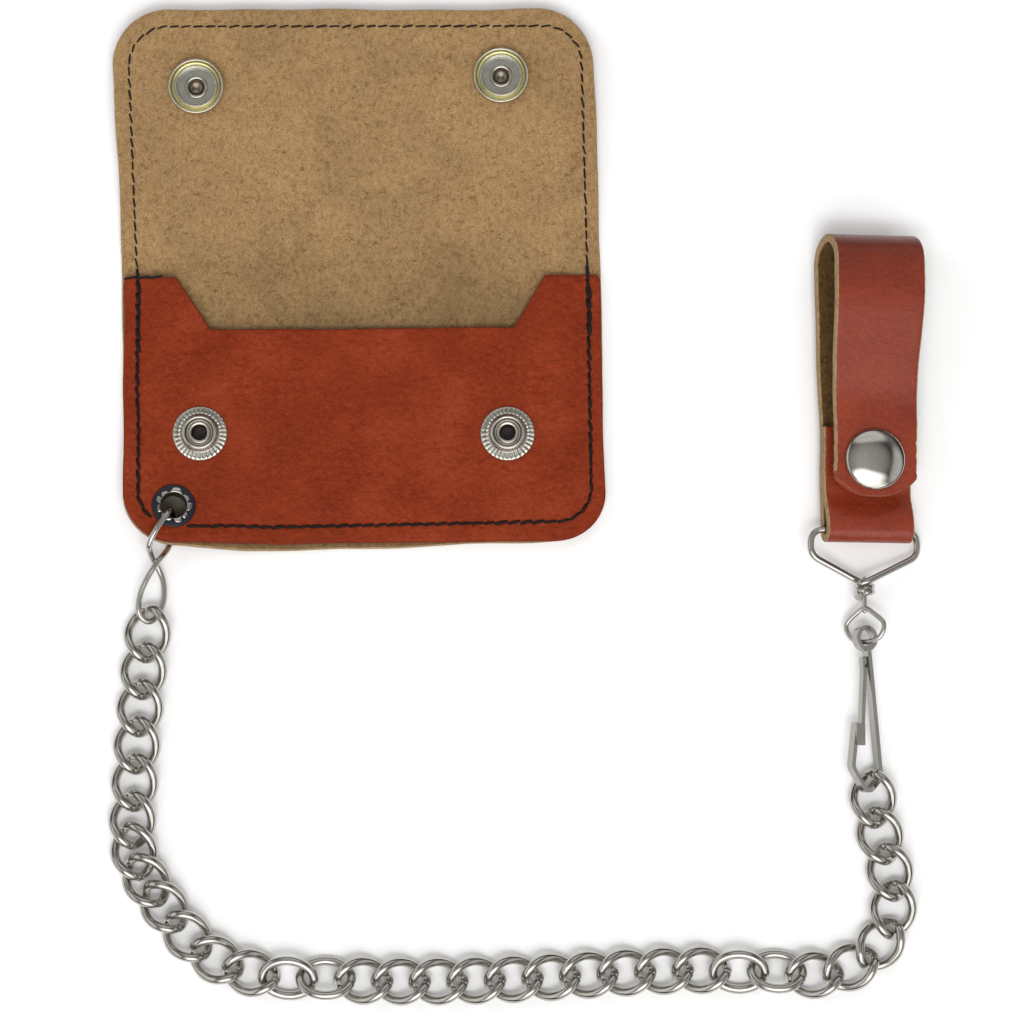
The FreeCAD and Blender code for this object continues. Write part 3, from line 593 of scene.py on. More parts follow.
def leather_sheet(name, outline, holes, place, materials, step=1.1):
    """A sheet cut to an outline: upper side, lower side and a rounded raw edge, a material for each.

    place turns rows of (x, y, height in the sheet) into points of the lying sheet.
    """
    loops = [outline]
    for x, y, radius in holes:
        turns = np.linspace(0, -2 * math.pi, 41)[:-1]
        loops.append(np.column_stack([x + radius * np.cos(turns), y + radius * np.sin(turns)]))
    rims = [loop + inward(loop) * SHEET_RIM for loop in loops]
    low, high = outline.min(0), outline.max(0)
    columns, rows = (np.arange(low[axis], high[axis], step) for axis in (0, 1))
    grid = np.stack(np.meshgrid(columns, rows), -1).reshape(-1, 2)
    grid[:, 0] += np.where(np.round((grid[:, 1] - low[1]) / step).astype(int) % 2, step / 2, 0)
    grid = grid[inside(outline + inward(outline) * (SHEET_RIM + step * 0.6), grid)]
    for x, y, radius in holes:
        grid = grid[np.hypot(grid[:, 0] - x, grid[:, 1] - y) > radius + SHEET_RIM + step * 0.5]
    flat = np.vstack(rims + [grid])
    edges = []
    base = 0
    for loop in loops:
        count = len(loop)
        edges += [(base + index, base + (index + 1) % count) for index in range(count)]
        base += count
    made = geometry.delaunay_2d_cdt(
        [Vector(point) for point in flat], edges, [list(range(len(outline)))], 1, 1e-6)
    spots = np.array([tuple(spot) for spot in made[0]])
    source = {original: index for index, originals in enumerate(made[3]) for original in originals}
    faces = []
    for face in made[2]:
        middle = spots[list(face)].mean(0)
        if all(math.hypot(middle[0] - x, middle[1] - y) > radius for x, y, radius in holes):
            faces.append(tuple(face))
    count = len(spots)
    levels = [(0.1, PANEL - 0.09), (0.0, PANEL - 0.32), (-0.04, PANEL / 2), (0.0, 0.32), (0.1, 0.09)]
    blocks = [np.column_stack([spots, np.full(count, height)]) for height in (PANEL, 0.0)]
    all_faces = faces + [tuple(count + index for index in reversed(face)) for face in faces]
    indices = [0] * len(faces) + [1] * len(faces)
    offset = 2 * count
    base = 0
    for loop in loops:
        normal = inward(loop)
        size = len(loop)
        rings = [[source[base + index] for index in range(size)]]
        for inset, height in levels:
            blocks.append(np.column_stack([loop + normal * inset, np.full(size, height)]))
            rings.append(list(range(offset, offset + size)))
            offset += size
        rings.append([count + source[base + index] for index in range(size)])
        for upper, lower in zip(rings, rings[1:]):
            for index in range(size):
                after = (index + 1) % size
                all_faces.append((upper[index], lower[index], lower[after], upper[after]))
                indices.append(2)
        base += size
    points = place(np.vstack(blocks))
    return mesh_object(name, points, all_faces, materials, indices)


BACK_CORNERS = [
    (-59.9, -36.2), (-44.5, -36.6), (-30.0, -37.7), (0.0, -36.9), (30.0, -35.6), (60.2, -34.5),
    (59.2, 36.0), (57.4, 99.4), (-64.6, 99.4), (-60.9, 36.0),
]
POCKET_CORNERS = [
    (-60.2, -36.6), (60.6, -34.9), (59.2, 32.0), (45.4, 31.9), (37.6, 18.6),
    (-38.5, 17.9), (-47.1, 31.4), (-60.2, 31.4),
]


def place_main(points):
    """The main leather: flat under the pocket, its corner lifted, its flap leaning."""
    out = points.copy()
    out[:, 2] += waves(out, 0.03, 0.22, 3.0) * smoothstep(38, 60, out[:, 1])
    return lean_flap(lift_corner(out))


def pocket_rise(points):
    """How far the pocket's front stands off the back panel."""
    side = np.minimum(points[:, 0] + 60.2, 60.3 - points[:, 0])
    near = np.minimum(side, points[:, 1] + 36.0)
    rise = smoothstep(4.2, 11.0, near)
    eyelet = np.hypot(points[:, 0] - EYELET.x, points[:, 1] - EYELET.y)
    return POCKET_ROOM * rise * smoothstep(6.0, 15.0, eyelet)


def seam_dip(points, line, depth=0.22, width=1.1):
    """A shallow valley where thread pulls the leather down."""
    out = np.zeros(len(points))
    batch = 4000
    for start in range(0, len(points), batch):
        block = points[start:start + batch, None, :2] - line[None, :, :2]
        nearest = np.sqrt((block ** 2).sum(2)).min(1)
        out[start:start + batch] = -depth * np.exp(-(nearest / width) ** 2)
    return out


POCKET_SEAM = rounded(
    [(-56.9, 33.6), (-56.4, -32.5), (57.0, -30.2), (56.1, 30.6)], [0, 9.0, 8.5, 0], 0.5, closed=False)
FLAP_SEAM = rounded(
    [(56.1, 31.6), (54.4, 95.2), (-60.0, 95.0), (-57.3, 34.0)], [0, 9.5, 10.0, 0], 0.5, closed=False)


def place_pocket(points):
    """The pocket's front: on its rim, slightly dished round the snaps and along the seam."""
    out = points.copy()
    out[:, 2] += PANEL + pocket_rise(points)
    out[:, 2] += waves(out, 0.045, 0.14, 7.0) * smoothstep(2, 12, pocket_rise(points) * 15)
    out[:, 2] += seam_dip(points, POCKET_SEAM[::3]) * (points[:, 2] > PANEL / 2)
    for place in STUDS:
        away = np.hypot(out[:, 0] - place.x, out[:, 1] - place.y)
        out[:, 2] -= 0.12 * np.exp(-((away / 8.5) ** 4))
    return lift_corner(out)


def make_wallet_leather():
    """The back with its flap, and the pocket's front, with holes for the eyelet and the snaps."""
    eyelet_hole = (EYELET.x, EYELET.y, 3.6)
    corners = rounded(BACK_CORNERS, [13, 6, 20, 60, 60, 12, 0, 13.5, 14, 0], 0.6)
    outline = cut_edge(even(corners, 0.6, True), 0.5, 1.0)
    holes = [eyelet_hole] + [(place.x, place.y, 2.6) for place in SOCKETS]
    main = leather_sheet("wallet_leather", outline, holes, place_main, [FLAP_SUEDE, WALLET_GRAIN, EDGE])
    bend_at_fold(main, ["back_panel", "flap"])
    corners = rounded(POCKET_CORNERS, [13, 12, 1.5, 0.4, 0.5, 0.5, 0.4, 1.5], 0.5)
    outline = cut_edge(even(corners, 0.5, True), 0.35, 4.0)
    holes = [eyelet_hole] + [(place.x, place.y, 2.6) for place in STUDS]
    pocket = leather_sheet("pocket_leather", outline, holes, place_pocket,
                           [WALLET_GRAIN, FLAP_SUEDE, DARK_EDGE], 0.9)
    settle(pocket, "wallet", ["front_pocket"])


def stitches(line, surface, pitch=3.1, gap=0.55, radius=0.42, seed=1):
    """Lock stitches along a flat line: short threads that dip into the leather at both ends."""
    random.seed(seed)
    arch = np.array([-0.22, 0.0, 0.1, 0.12, 0.1, 0.0, -0.22])
    lengths = distances(line)
    parts = []
    spot = 0.3
    while spot + pitch * 0.6 < lengths[-1]:
        length = pitch * random.uniform(0.9, 1.08)
        inner = np.linspace(spot, min(spot + length - gap, lengths[-1]), len(arch))
        x, y = (np.interp(inner, lengths, values) for values in line.T)
        sway = np.array([y[0] - y[-1], x[-1] - x[0]])
        sway /= np.linalg.norm(sway) + 1e-9
        lean = np.linspace(-1, 1, len(arch)) * random.uniform(0.05, 0.3)
        flat = np.column_stack([x + sway[0] * lean, y + sway[1] * lean])
        parts.append(tube(surface(flat, arch), radius * random.uniform(0.88, 1.08), sides=8))
        spot += length
    return joined(parts)


def make_stitching():
    """The seams round the pocket and the flap, with a second row and a knot at the ears, and a dark
    thread bar along the left ear's top edge that is painted shadow of the pocket's top edge.
    """
    def on_pocket(flat, arch):
        laid = place_pocket(np.column_stack([flat, np.full(len(flat), PANEL)]))
        laid[:, 2] += arch + 0.08
        return laid

    def on_flap(flat, arch):
        return place_main(np.column_stack([flat, PANEL + arch]))

    away = np.hypot(POCKET_SEAM[:, 0] - EYELET.x, POCKET_SEAM[:, 1] - EYELET.y) > 6.0
    split = int(np.argmin(away))
    after = split + int(np.argmax(away[split:]))
    runs = [POCKET_SEAM[:split], POCKET_SEAM[after:]]
    parts = [stitches(run, on_pocket, seed=3 + index) for index, run in enumerate(runs)]
    # Each extra run: its two ends, the spacing of its points, gap, radius and seed.
    for ends, spacing, gap, radius, seed in (
        ([(-56.9 + 0.45, 31.0 - 0.4), (-56.7 + 0.3, 12.0)], 0.5, 0.1, 0.34, 11),
        ([(56.2 + 0.45, 30.0 - 0.4), (56.4 + 0.3, 16.0)], 0.5, 0.1, 0.34, 12),
        # This run is a dark thread laid where the pocket's top edge casts its shadow: painted shadow.
        ([(-60.4, 31.2), (-50.4, 31.35)], 0.5, 0.05, 0.3, 14),
        ([(56.0, 34.5), (56.3, 28.0)], 0.4, 0.02, 0.42, 15),
    ):
        run = even(np.array(ends), spacing)
        parts.append(stitches(run, on_pocket, gap=gap, radius=radius, seed=seed))
    made = mesh_object("pocket_thread", *joined(parts), [THREAD])
    settle(made, "wallet", ["pocket_stitching"])
    made = mesh_object("flap_thread", *stitches(FLAP_SEAM, on_flap, radius=0.25, seed=21), [THREAD])
    bend_at_fold(made, ["flap_stitching"])


# ---- snaps and eyelet

def stud_shape():
    """Stud with a milled flange, a raised ring and a sunk floor."""
    def milled(radius, height, angle):
        share = math.exp(-((radius - 5.9) / 0.75) ** 2)
        tooth = 0.5 + 0.5 * math.cos(angle * 34 + 0.6 * math.sin(angle * 3))
        return radius, height - 0.34 * share * (1 - tooth ** 0.5)

    corners = [
        (6.5, 0.0), (6.85, 0.2), (6.75, 0.62), (6.2, 0.85), (5.3, 1.0), (4.95, 0.92), (4.5, 1.25),
        (4.35, 2.9), (3.9, 3.2), (3.5, 3.1), (3.35, 2.1), (2.5, 2.0),
    ]
    radii = [0, 0.12, 0.2, 0.3, 0.2, 0.1, 0.25, 0.25, 0.2, 0.12, 0.1, 0]
    return lathe(soft_profile(corners, radii), 204, milled)


def post_shape(grip):
    """Post: head below, barrel, and a rim rolled over the stud's floor."""
    corners = [
        (0.05, -grip - 0.6), (4.7, -grip - 0.6), (5.0, -grip - 0.35), (4.9, -grip),
        (2.42, -grip), (2.42, 2.02), (2.85, 2.1), (2.85, 2.5), (2.5, 2.75), (2.0, 2.6),
        (1.85, 2.0), (1.8, -grip + 0.2), (0.05, -grip + 0.1),
    ]
    radii = [0, 0.1, 0.15, 0.05, 0.1, 0.1, 0.12, 0.2, 0.2, 0.2, 0.2, 0.1, 0]
    return lathe(soft_profile(corners, radii), 72)


def socket_shape():
    """Socket: a cup with a broad rolled rim and a flat floor."""
    corners = [
        (2.6, 0.02), (6.4, 0.02), (7.02, 0.5), (7.05, 2.3), (6.8, 2.95), (6.45, 2.95), (6.1, 2.1),
        (5.45, 1.95), (5.2, 2.8), (4.98, 2.8), (4.9, 2.3), (4.9, 1.2), (4.6, 0.92), (2.6, 0.9),
    ]
    radii = [0, 0.15, 0.3, 0.5, 0.15, 0.15, 0.25, 0.15, 0.1, 0.1, 0.1, 0.15, 0.15, 0]
    return lathe(soft_profile(corners, radii), 96)


def cap_shape(grip):
    """Cap: a low dome with a tucked rim, and a barrel rolled over the socket's floor."""
    edge = 7.25
    dome = []
    for step in range(25):
        radius = 0.05 + (edge - 0.05) * step / 24
        dome.append((radius, -grip - 2.95 + 1.55 * (radius / edge) ** 2.6))
    dome += [(7.48, -grip - 1.15), (7.55, -grip - 0.75), (7.45, -grip - 0.3), (7.1, -grip - 0.02)]
    dome += [(2.42, -grip - 0.02), (2.42, 0.95), (2.85, 1.0), (2.85, 1.15), (2.6, 1.28), (2.2, 1.25),
             (1.95, 1.0), (1.7, 0.2), (1.2, -0.3), (0.05, -0.45)]
    return lathe(dome, 96)


def spring_shape():
    """Split wire ring in the socket."""
    split, radius = 0.16, 4.85
    angles = np.linspace(split, 2 * math.pi - split, 60)
    ring = np.column_stack([radius * np.cos(angles), radius * np.sin(angles), np.full(60, 1.7)])
    return tube(ring, 0.2, sides=10)


def add_copies(name, shape, matrices, materials, body, node, marks=None):
    """Copies of a shape as one piece on a body, in place of a CAD node."""
    points, faces = joined([(moved(shape[0], matrix), shape[1]) for matrix in matrices])
    settle(mesh_object(name, points, faces, materials, marks), body, [node])


def ring_indices(shape, rings):
    """Material number of each face of a turned shape: its ring (inner, outer, lowest), or 0."""
    points = np.array(shape[0])
    marks = []
    for face in shape[1]:
        spots = points[list(face)]
        radius = np.hypot(spots[:, 0], spots[:, 1]).mean()
        height = spots[:, 2].mean()
        mark = 0
        for number, (inner, outer, low) in enumerate(rings, 1):
            if inner < radius < outer and height > low:
                mark = number
        marks.append(mark)
    return marks


def make_snaps():
    studs = [Matrix.Translation(place - Vector((0, 0, 0.1))) for place in STUDS]
    sockets = [FLAP_TURN @ Matrix.Translation(Vector((place.x, place.y, PANEL))) for place in SOCKETS]
    tab = STRAP_ROLL @ Matrix.Translation(Vector((STRAP_MIDDLE, SNAP_Y, STRAP_FLOOR + TAB_TOP)))
    over = Matrix.Translation(Vector((STRAP_MIDDLE + 0.3, SNAP_Y, STRAP_FLOOR + FRONT_LOW)))
    front = STRAP_ROLL @ over @ Matrix.Rotation(math.pi, 4, "X")
    stud, socket, spring = stud_shape(), socket_shape(), spring_shape()
    post, strap_post = post_shape(PANEL), post_shape(TAB_TOP)
    cap, strap_cap = cap_shape(PANEL), cap_shape(STRAP)
    # Rings of a second material: its inner and outer radius, and the height it lies above.
    studs_look = SNAP_NICKEL, [(DULL, 3.2, 3.6, -90.0), (FLOOR_NICKEL, 5.3, 6.3, 0.3)]
    # The post's bore carries painted shade.
    posts_look = SNAP_NICKEL, [(PAINTED_BORE_SHADE, 0.0, 1.97, -90.0)]
    sockets_look = SOCKET_NICKEL, [(GROOVE, 5.3, 6.3, 1.0), (FLOOR_NICKEL, 2.5, 4.75, 0.3)]
    springs_look = SNAP_NICKEL, []
    caps_look = CAP_NICKEL, [(DULL, 0.0, 2.1, -0.6)]
    for name, shape, places, body, node, (material, rings) in (
        ("pocket_snap_studs", stud, studs, "wallet", "pocket_studs", studs_look),
        ("pocket_snap_posts", post, studs, "wallet", "stud_posts", posts_look),
        ("flap_snap_sockets", socket, sockets, "flap", "flap_sockets", sockets_look),
        ("flap_snap_springs", spring, sockets, "flap", "socket_springs", springs_look),
        ("flap_snap_caps", cap, sockets, "flap", "flap_caps", caps_look),
        ("strap_snap_stud", stud, [tab], "strap_back", "strap_stud", studs_look),
        ("strap_snap_post", strap_post, [tab], "strap_back", "strap_post", posts_look),
        ("strap_snap_socket", socket, [front], "strap_front", "strap_socket", sockets_look),
        ("strap_snap_spring", spring, [front], "strap_front", "strap_spring", springs_look),
        ("strap_snap_cap", strap_cap, [front], "strap_front", "strap_cap", caps_look),
    ):
        materials = [material] + [ring[0] for ring in rings]
        marks = ring_indices(shape, [ring[1:] for ring in rings]) * len(places)
        add_copies(name, shape, places, materials, body, node, marks)


def make_eyelet():
    """Black washer, and the eyelet's barrel split into petals that are rolled over it."""
    place = CORNER_LIFT @ Matrix.Translation(Vector((EYELET.x, EYELET.y, 0)))
    top = RIM_TOP
    washer = soft_profile(
        [(3.7, top + 0.02), (5.4, top + 0.02), (5.5, top + 0.2), (5.3, top + 0.5), (4.4, top + 0.62),
         (3.7, top + 0.55)], [0, 0.05, 0.15, 0.25, 0.3, 0], 0.15)
    add_copies("washer", lathe(washer, 96), [place], [BLACK], "wallet", "eyelet_washer")

    petals = 9

    def split(radius, height, angle):
        if radius < 3.45 or height < top + 0.3:
            return radius, height
        phase = (angle * petals / (2 * math.pi) + 0.18 * math.sin(2.3 * angle)) % 1.0
        notch = math.exp(-((phase - 0.5) / 0.16) ** 2)
        reach = (radius - 3.45) * (1 - 0.95 * notch) * (0.85 + 0.25 * math.sin(angle * 5 + 1))
        return 3.45 + reach, height - 0.15 * notch

    corners = [
        (5.1, -0.35), (5.2, -0.18), (5.1, -0.02), (3.58, -0.02), (3.58, top + 0.62), (3.9, top + 0.75),
        (4.55, top + 0.66), (4.5, top + 0.86), (3.9, top + 0.98), (3.4, top + 0.9), (3.25, top + 0.5),
        (3.25, 0.1), (3.5, -0.35), (5.1, -0.35),
    ]
    radii = [0, 0.05, 0.05, 0.05, 0.15, 0.15, 0.05, 0.08, 0.25, 0.2, 0.2, 0.2, 0.1, 0]
    shape = lathe(soft_profile(corners, radii, 0.14), 216, split)
    # The eyelet's bore carries painted shade.
    bore = ring_indices(shape, [(0.0, 3.36, -9.0)])
    add_copies("eyelet", shape, [place], [NICKEL, PAINTED_BORE_SHADE], "wallet", "chain_eyelet", bore)


# ---- chain and hook

LINK_WIRE = 1.15
LINK_STEPS = 96


def link_shape(left, right):
    """Round wire bent to a link whose two sides are turned by angles in degrees.

    The wire's ends meet near the link's far end, in a shallow groove.
    """
    turns = np.linspace(0, 2 * math.pi, LINK_STEPS, endpoint=False)
    angle = math.radians(left + right) / 2 + math.radians(right - left) / 2 * np.cos(turns)
    side = 4.8 * np.sin(turns)
    line = np.column_stack([6.35 * np.cos(turns), side * np.cos(angle), side * np.sin(angle)])
    points, faces = tube(line, LINK_WIRE, closed=True, sides=24)
    points = np.array(points).reshape(LINK_STEPS, 24, 3)
    for index, depth in ((92, 0.04), (93, 0.14), (94, 0.04)):
        points[index] = line[index] + (points[index] - line[index]) * (1 - depth / LINK_WIRE)
    return points.reshape(-1, 3), faces


LINK_SHAPES = {0: link_shape(45, -45), 1: link_shape(28, 28), -1: link_shape(-28, -28)}


def link_frame(node):
    """Middle, heading and surface of a link as its CAD node lies."""
    surface = np.array([vertex.co for vertex in frame["nodes"][node].data.vertices]) * 1000
    middle = (surface.min(0) + surface.max(0)) / 2
    around = surface - middle
    _, ways = np.linalg.eigh(np.cov(around[:, :2].T))
    return middle, ways[:, 1], around


def make_chain():
    """Each link where its CAD node lies, tilted to the side that the node is tilted to."""
    names = ["link_%02d" % number for number in range(1, 34)]
    frames = [link_frame(name) for name in names]
    for index, name in enumerate(names):
        middle, way, around = frames[index]
        ahead = frames[min(index + 1, 32)][0] - frames[max(index - 1, 0)][0]
        if way @ ahead[:2] < 0:
            way = -way
        across = around[:, :2] @ np.array([-way[1], way[0]])
        left = around[across > 4.0][:, 2].mean()
        tilt = 0 if abs(left) < 0.8 else (1 if left > 0 else -1)
        heading = Matrix.Rotation(math.atan2(way[1], way[0]), 4, "Z")
        place = Matrix.Translation(Vector(middle)) @ heading
        add_copies("chain_" + name, LINK_SHAPES[tilt], [place], [NICKEL], name, name)


CONNECTOR_ROUTE = [
    (-47.6, -27.7, 4.4), (-48.2, -28.7, 7.6), (-50.9, -32.8, 8.7), (-52.8, -36.6, 7.7),
    (-52.6, -39.0, 4.5), (-51.3, -41.4, 2.3), (-49.8, -45.2, 1.5), (-49.6, -49.6, 1.4),
    (-51.0, -53.8, 1.9), (-53.3, -55.4, 2.9), (-55.5, -53.4, 4.1), (-55.2, -48.8, 4.6),
    (-53.3, -44.4, 4.9), (-50.9, -40.6, 4.7), (-48.7, -37.2, 2.3), (-47.7, -33.6, 1.4),
    (-47.6, -30.4, 1.18),
]


def make_wires():
    """The long link at the eyelet, the swivel's eye and the strap's loop."""
    wire = tube(spline_through(CONNECTOR_ROUTE), 0.75, closed=True)
    settle(mesh_object("long_link", *wire, [NICKEL]), "connector", ["connector_link"])

    middle, level = SWIVEL.x, SWIVEL.z
    route = [
        (middle, -52.2, level), (middle - 2.4, -53.6, level), (middle - 4.9, -56.4, level),
        (middle - 3.4, -59.7, level), (middle + 0.3, -60.6, level), (middle + 3.9, -59.5, level),
        (middle + 5.0, -56.2, level), (middle + 2.4, -53.6, level),
    ]
    eye = tube(spline_through(route), 0.625, closed=True)
    shank = tube([(middle, y, level) for y in (-52.9, -50.0, -45.0)], 0.62)
    roll = about(SWIVEL, Y_WAY, math.radians(-25.0))
    wire = joined([eye, shank])
    add_copies("swivel_wire", wire, [roll], [NICKEL], "swivel_eye", "swivel_eye")

    half, bar = 13.5, -32.7
    body = [
        (middle + 1.2, -45.3, level + 1.75), (middle + half, -39.2, level), (middle + half, bar, level),
        (middle - half, bar, level), (middle - half, -39.2, level), (middle - 1.2, -45.3, level - 1.75),
    ]
    legs = rounded(body, [0, 3.2, 3.0, 3.0, 3.2, 0], 0.4, closed=False)

    def coil(start_turn, low):
        """One turn and a bit round the shank, from a leg's end down to its cut end."""
        turns = math.radians(start_turn) + np.linspace(0.35, 2.0 * math.pi * 1.05, 40)
        drop = np.linspace(-45.9, low, 40)
        reach = 1.8 + 1.3 * smoothstep(0.78, 1.0, np.linspace(0, 1, 40))
        return np.column_stack([middle + reach * np.cos(turns), drop, level + reach * np.sin(turns)])

    line = even(np.vstack([coil(75, -48.6)[::-1], legs, coil(255, -49.4)]), 0.35)
    for _ in range(4):
        line[1:-1] = (line[:-2] + 2 * line[1:-1] + line[2:]) / 4
    wire = tube(line, 0.85)
    add_copies("loop_wire", wire, [STRAP_ROLL], [NICKEL], "wire_loop", "wire_loop")


def finish_hook():
    """The hook's strips keep their CAD shape, with rounded edges and nickel plate."""
    for name in ("snap_hook", "hook_gate"):
        made = frame["nodes"][name]
        mesh = made.data
        if "custom_normal" in mesh.attributes:
            mesh.attributes.remove(mesh.attributes["custom_normal"])
        mesh.materials.clear()
        mesh.materials.append(HOOK_NICKEL)
        mesh.polygons.foreach_set("use_smooth", [True] * len(mesh.polygons))
        weld = made.modifiers.new("weld", "WELD")
        weld.merge_threshold = 0.01 * MM
        bevel = made.modifiers.new("bevel", "BEVEL")
        bevel.width = 0.22 * MM
        bevel.segments = 3
        bevel.limit_method = "ANGLE"
        bevel.angle_limit = math.radians(40)
        bevel.harden_normals = True


# ---- strap

def strap_path():
    """Middle of the strap's leather as (y, height): tab, round the bar, back, top fold, front."""
    bar, mid, fold = -32.7, STRAP / 2, 6.5
    top = STRAP / 2 + fold * 2
    over = STRAP + 1.15 + 2.15
    corners = [
        (-7.0, TAB_TOP - mid), (-24.5, TAB_TOP - mid), (-30.5, over), (bar - 2.15, over),
        (bar - 2.15, mid), (33.4 + fold, mid), (33.4 + fold, top), (24.0, top + 0.3),
        (-1.0, FRONT_LOW + mid + 0.1), (-25.2, FRONT_LOW + mid),
    ]
    radii = [0, 8.0, 5.0, 2.05, 2.05, 6.3, 6.3, 40.0, 36.0, 0]
    return even(rounded(corners, radii, 0.4, closed=False), 0.45)


def make_strap():
    """The strap in one piece: it leans sideways towards its top and is ragged at its tip."""
    path = strap_path()
    count = len(path)
    ways = np.gradient(path, axis=0)
    ways /= np.linalg.norm(ways, axis=1)[:, None]
    out = np.column_stack([ways[:, 1], -ways[:, 0]])
    front = np.arange(count) > int(np.argmax(path[:, 0]))
    rising = smoothstep(-14, 28, path[:, 0])
    half = np.where(front, 10.25 + 0.9 * rising, 11.0 - 0.4 * rising)
    tip = front & (path[:, 0] < -11.7)
    arc = np.sqrt(np.maximum(13.6 ** 2 - (path[tip, 0] + 11.7) ** 2, 4.0))
    half[tip] = np.minimum(half[tip], arc)
    columns = 26
    rim = 0.35
    skin = STRAP / 2
    bulge = [
        (-0.12, skin - 0.1), (0.0, skin - 0.35), (0.03, 0.0), (0.0, 0.35 - skin), (-0.12, 0.1 - skin)]
    shares = np.linspace(-1, 1, columns)
    points = []
    for index in range(count):
        sides = []
        for side in (-1, 1):
            ragged = noise.noise(Vector((path[index, 0] * 0.9, side * 5.0, path[index, 1])))
            slow = noise.noise(Vector((path[index, 0] * 0.07, side * 9.0, path[index, 1] * 0.1)))
            rough = 0.28 * ragged if tip[index] else 0.05 * ragged
            sides.append(half[index] + rough + 0.3 * slow)
        left, right = -sides[0], sides[1]
        across = [left + rim + (right - left - 2 * rim) * (share + 1) / 2 for share in shares]
        section = [(x, skin) for x in across] + [(right + past, depth) for past, depth in bulge]
        section += [(x, -skin) for x in reversed(across)]
        section += [(left - past, depth) for past, depth in reversed(bulge)]
        for x, depth in section:
            middle = path[index] + out[index] * depth
            up = float(smoothstep(-14, 28, middle[0]))
            lean = (0.11 + 0.1 * up) * (middle[1] - 3.0) - 1.1 * up
            points.append((STRAP_MIDDLE + x + lean, middle[0], STRAP_FLOOR + middle[1]))
    points = moved(points, STRAP_ROLL)
    far = columns + len(bulge)
    around = 2 * far
    faces = quads(count, around)
    run, edge = columns - 1, len(bulge) + 1
    indices = ([0] * run + [2] * edge + [1] * run + [2] * edge) * (count - 1)
    for base, order in ((0, 1), ((count - 1) * around, -1)):
        ring = list(range(base, base + around))
        upper, lower = ring[:columns], ring[far:far + columns][::-1]
        for corner in range(run):
            face = (upper[corner], lower[corner], lower[corner + 1], upper[corner + 1])
            faces.append(face[::order])
        faces.append((upper[-1], *ring[columns:far], lower[-1])[::order])
        faces.append((lower[0], *ring[far + columns:], upper[0])[::order])
    indices += [2] * (len(faces) - len(indices))
    # The tip of the front layer is dyed at its cut edge.
    for index, face in enumerate(faces):
        _, y, z = points[list(face)].mean(0)
        if indices[index] == 2 and y < -19.0 and z > STRAP_FLOOR + FRONT_LOW - 0.5:
            indices[index] = 3
    materials = [STRAP_GRAIN, STRAP_SUEDE, EDGE, RUST_EDGE]
    made = mesh_object("strap_leather", points, faces, materials, indices)
    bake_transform(made)
    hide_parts("strap_back", "strap_front")


# ---- table, light and camera

def make_stage():
    """The table, darkened where it shows through the eyelet, deep in the wallet's shade."""
    size = 3000
    shader = Shader("table_paper")
    pale, paler = (0.94, 0.94, 0.94, 1), (0.97, 0.97, 0.97, 1)
    tone = shader.ramp(shader.noise(0.02, 2.0), [(0.3, pale), (0.7, paler)])
    # Painted shadow: the table's colour is darkened round the point under the eyelet.
    away = shader.vector("DISTANCE", shader.place, tuple(EYELET)).outputs["Value"]
    shade = shader.ramp(shader.math("MULTIPLY", away, 0.1), [(0.5, 1.0), (0.9, 0.0)])
    tone = shader.mix(shade, tone, (0.16, 0.14, 0.11, 1))
    paper = shader.finish(tone, 0.9, Specular_IOR_Level=0.1)
    corners = [(-size, -size, 0), (size, -size, 0), (size, size, 0), (-size, size, 0)]
    mesh_object("table_top", corners, [(0, 1, 2, 3)], [paper])


def aimed_object(name, data, place, target):
    """A lamp or camera at a place in metres, turned to a target."""
    made = linked_object(name, data)
    made.location = place
    made.rotation_euler = (Vector(target) - Vector(place)).to_track_quat("-Z", "Y").to_euler()
    return made


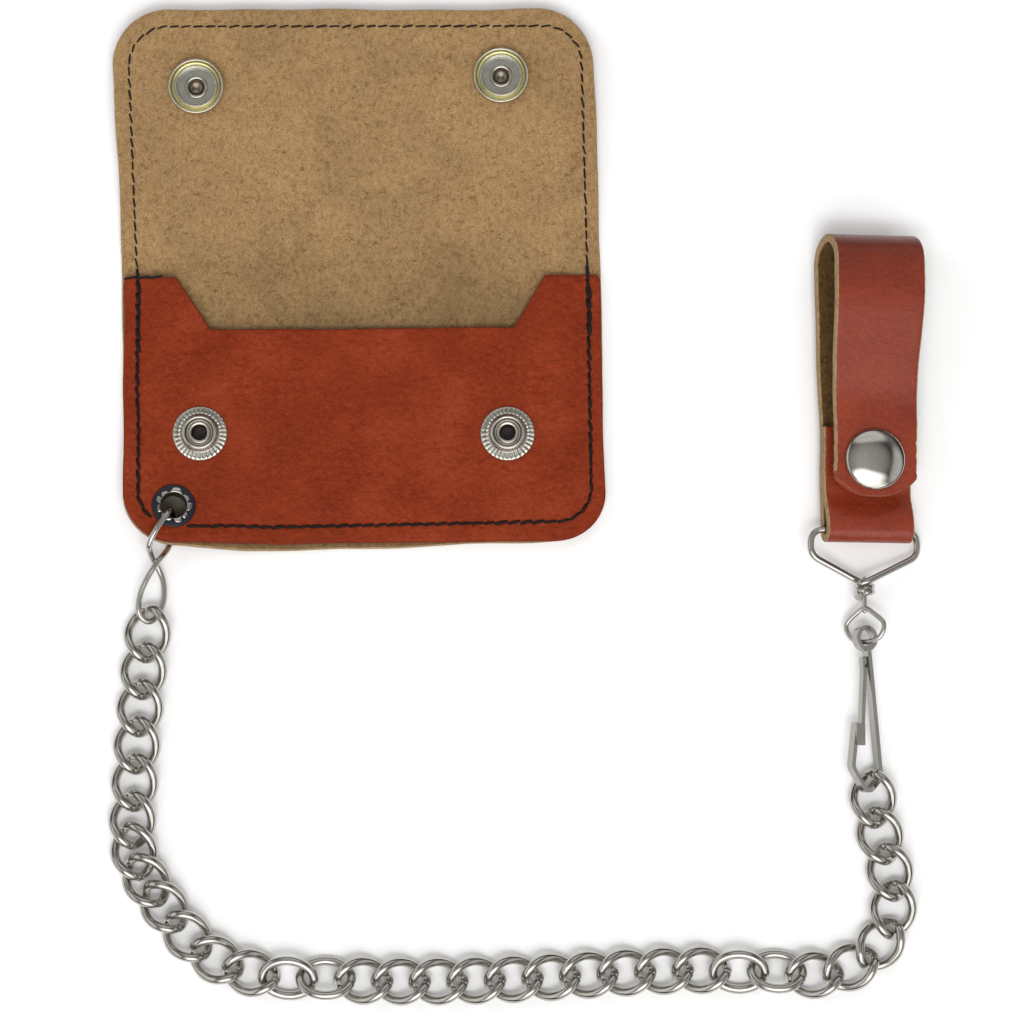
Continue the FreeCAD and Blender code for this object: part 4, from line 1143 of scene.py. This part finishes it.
def make_light():
    """A light tent: what shines in the metal is the world, what lights the leather is the lamps."""
    world = bpy.data.worlds.new("studio")
    bpy.context.scene.world = world
    tent = Nodes(world)
    way_out = tent.add("ShaderNodeTexCoord").outputs["Generated"]
    parts = tent.add("ShaderNodeSeparateXYZ", {0: way_out})
    stops = (0.0, 0.03), (0.25, 0.05), (0.42, 0.5), (0.55, 0.35), (0.7, 0.12), (0.84, 0.6), (1.0, 1.1)
    total = tent.ramp(parts.outputs["Z"], [
        (height, (bright, bright, bright * 0.98, 1)) for height, bright in stops])
    # Each panel: the way to its middle, how narrow it is along X, Y and Z, and its brightness.
    for way, narrow, bright in (
        ((0.1, -0.8, 0.6), (1.1, 2.6, 2.6), 3.2),
        ((-0.85, 0.1, 0.5), (2.4, 1.0, 2.4), 1.6),
        ((0.1, 0.75, 0.65), (1.4, 3.0, 3.0), 1.4),
        ((0.05, -0.42, 0.9), (1.5, 3.2, 1.0), 4.5),
        ((0.85, -0.1, 0.5), (3.0, 1.4, 3.0), 1.0),
    ):
        offset = tent.vector("SUBTRACT", way_out, way).outputs[0]
        scaled = tent.vector("MULTIPLY", offset, narrow).outputs[0]
        far = tent.add("ShaderNodeVectorMath", {0: scaled}, operation="LENGTH").outputs["Value"]
        inputs = {"Value": far, "From Min": 0.5, "From Max": 1.0, "To Min": bright, "To Max": 0.0}
        glow = tent.add("ShaderNodeMapRange", inputs, interpolation_type="SMOOTHSTEP")
        total = tent.mix(1.0, total, glow.outputs["Result"], "ADD")
    background = tent.tree.nodes["Background"]
    tent.feed(total, background.inputs["Color"])
    tent.feed(0.5, background.inputs["Strength"])
    for name, place, target, width, depth, watts in (
        ("key_softbox", (0.10, -0.62, 1.25), (0.04, -0.02, 0), 0.7, 0.3, 5.0),
        ("fill_left", (-1.0, 0.3, 0.8), (0.0, 0.0, 0), 0.4, 0.9, 2.3),
        ("fill_back", (0.45, 0.95, 0.9), (0.04, 0.0, 0), 0.6, 0.4, 1.7),
    ):
        data = bpy.data.lights.new(name, "AREA")
        data.shape = "RECTANGLE"
        data.size = width
        data.size_y = depth
        data.energy = watts
        aimed_object(name, data, place, target).visible_glossy = False


def make_camera():
    """One metre from the table and 7 degrees off vertical."""
    data = bpy.data.cameras.new("camera")
    data.sensor_width = 36
    data.lens = 140.6
    target = Vector((0.0371, -0.0276, 0))
    tip = math.radians(7)
    place = target + Vector((0, -math.sin(tip), math.cos(tip)))
    bpy.context.scene.camera = aimed_object("camera", data, place, target)


make_wallet_leather()
make_stitching()
make_snaps()
make_eyelet()
make_chain()
make_wires()
finish_hook()
make_strap()
make_stage()
make_light()
make_camera()
bpy.context.scene.view_settings.view_transform = "Standard"
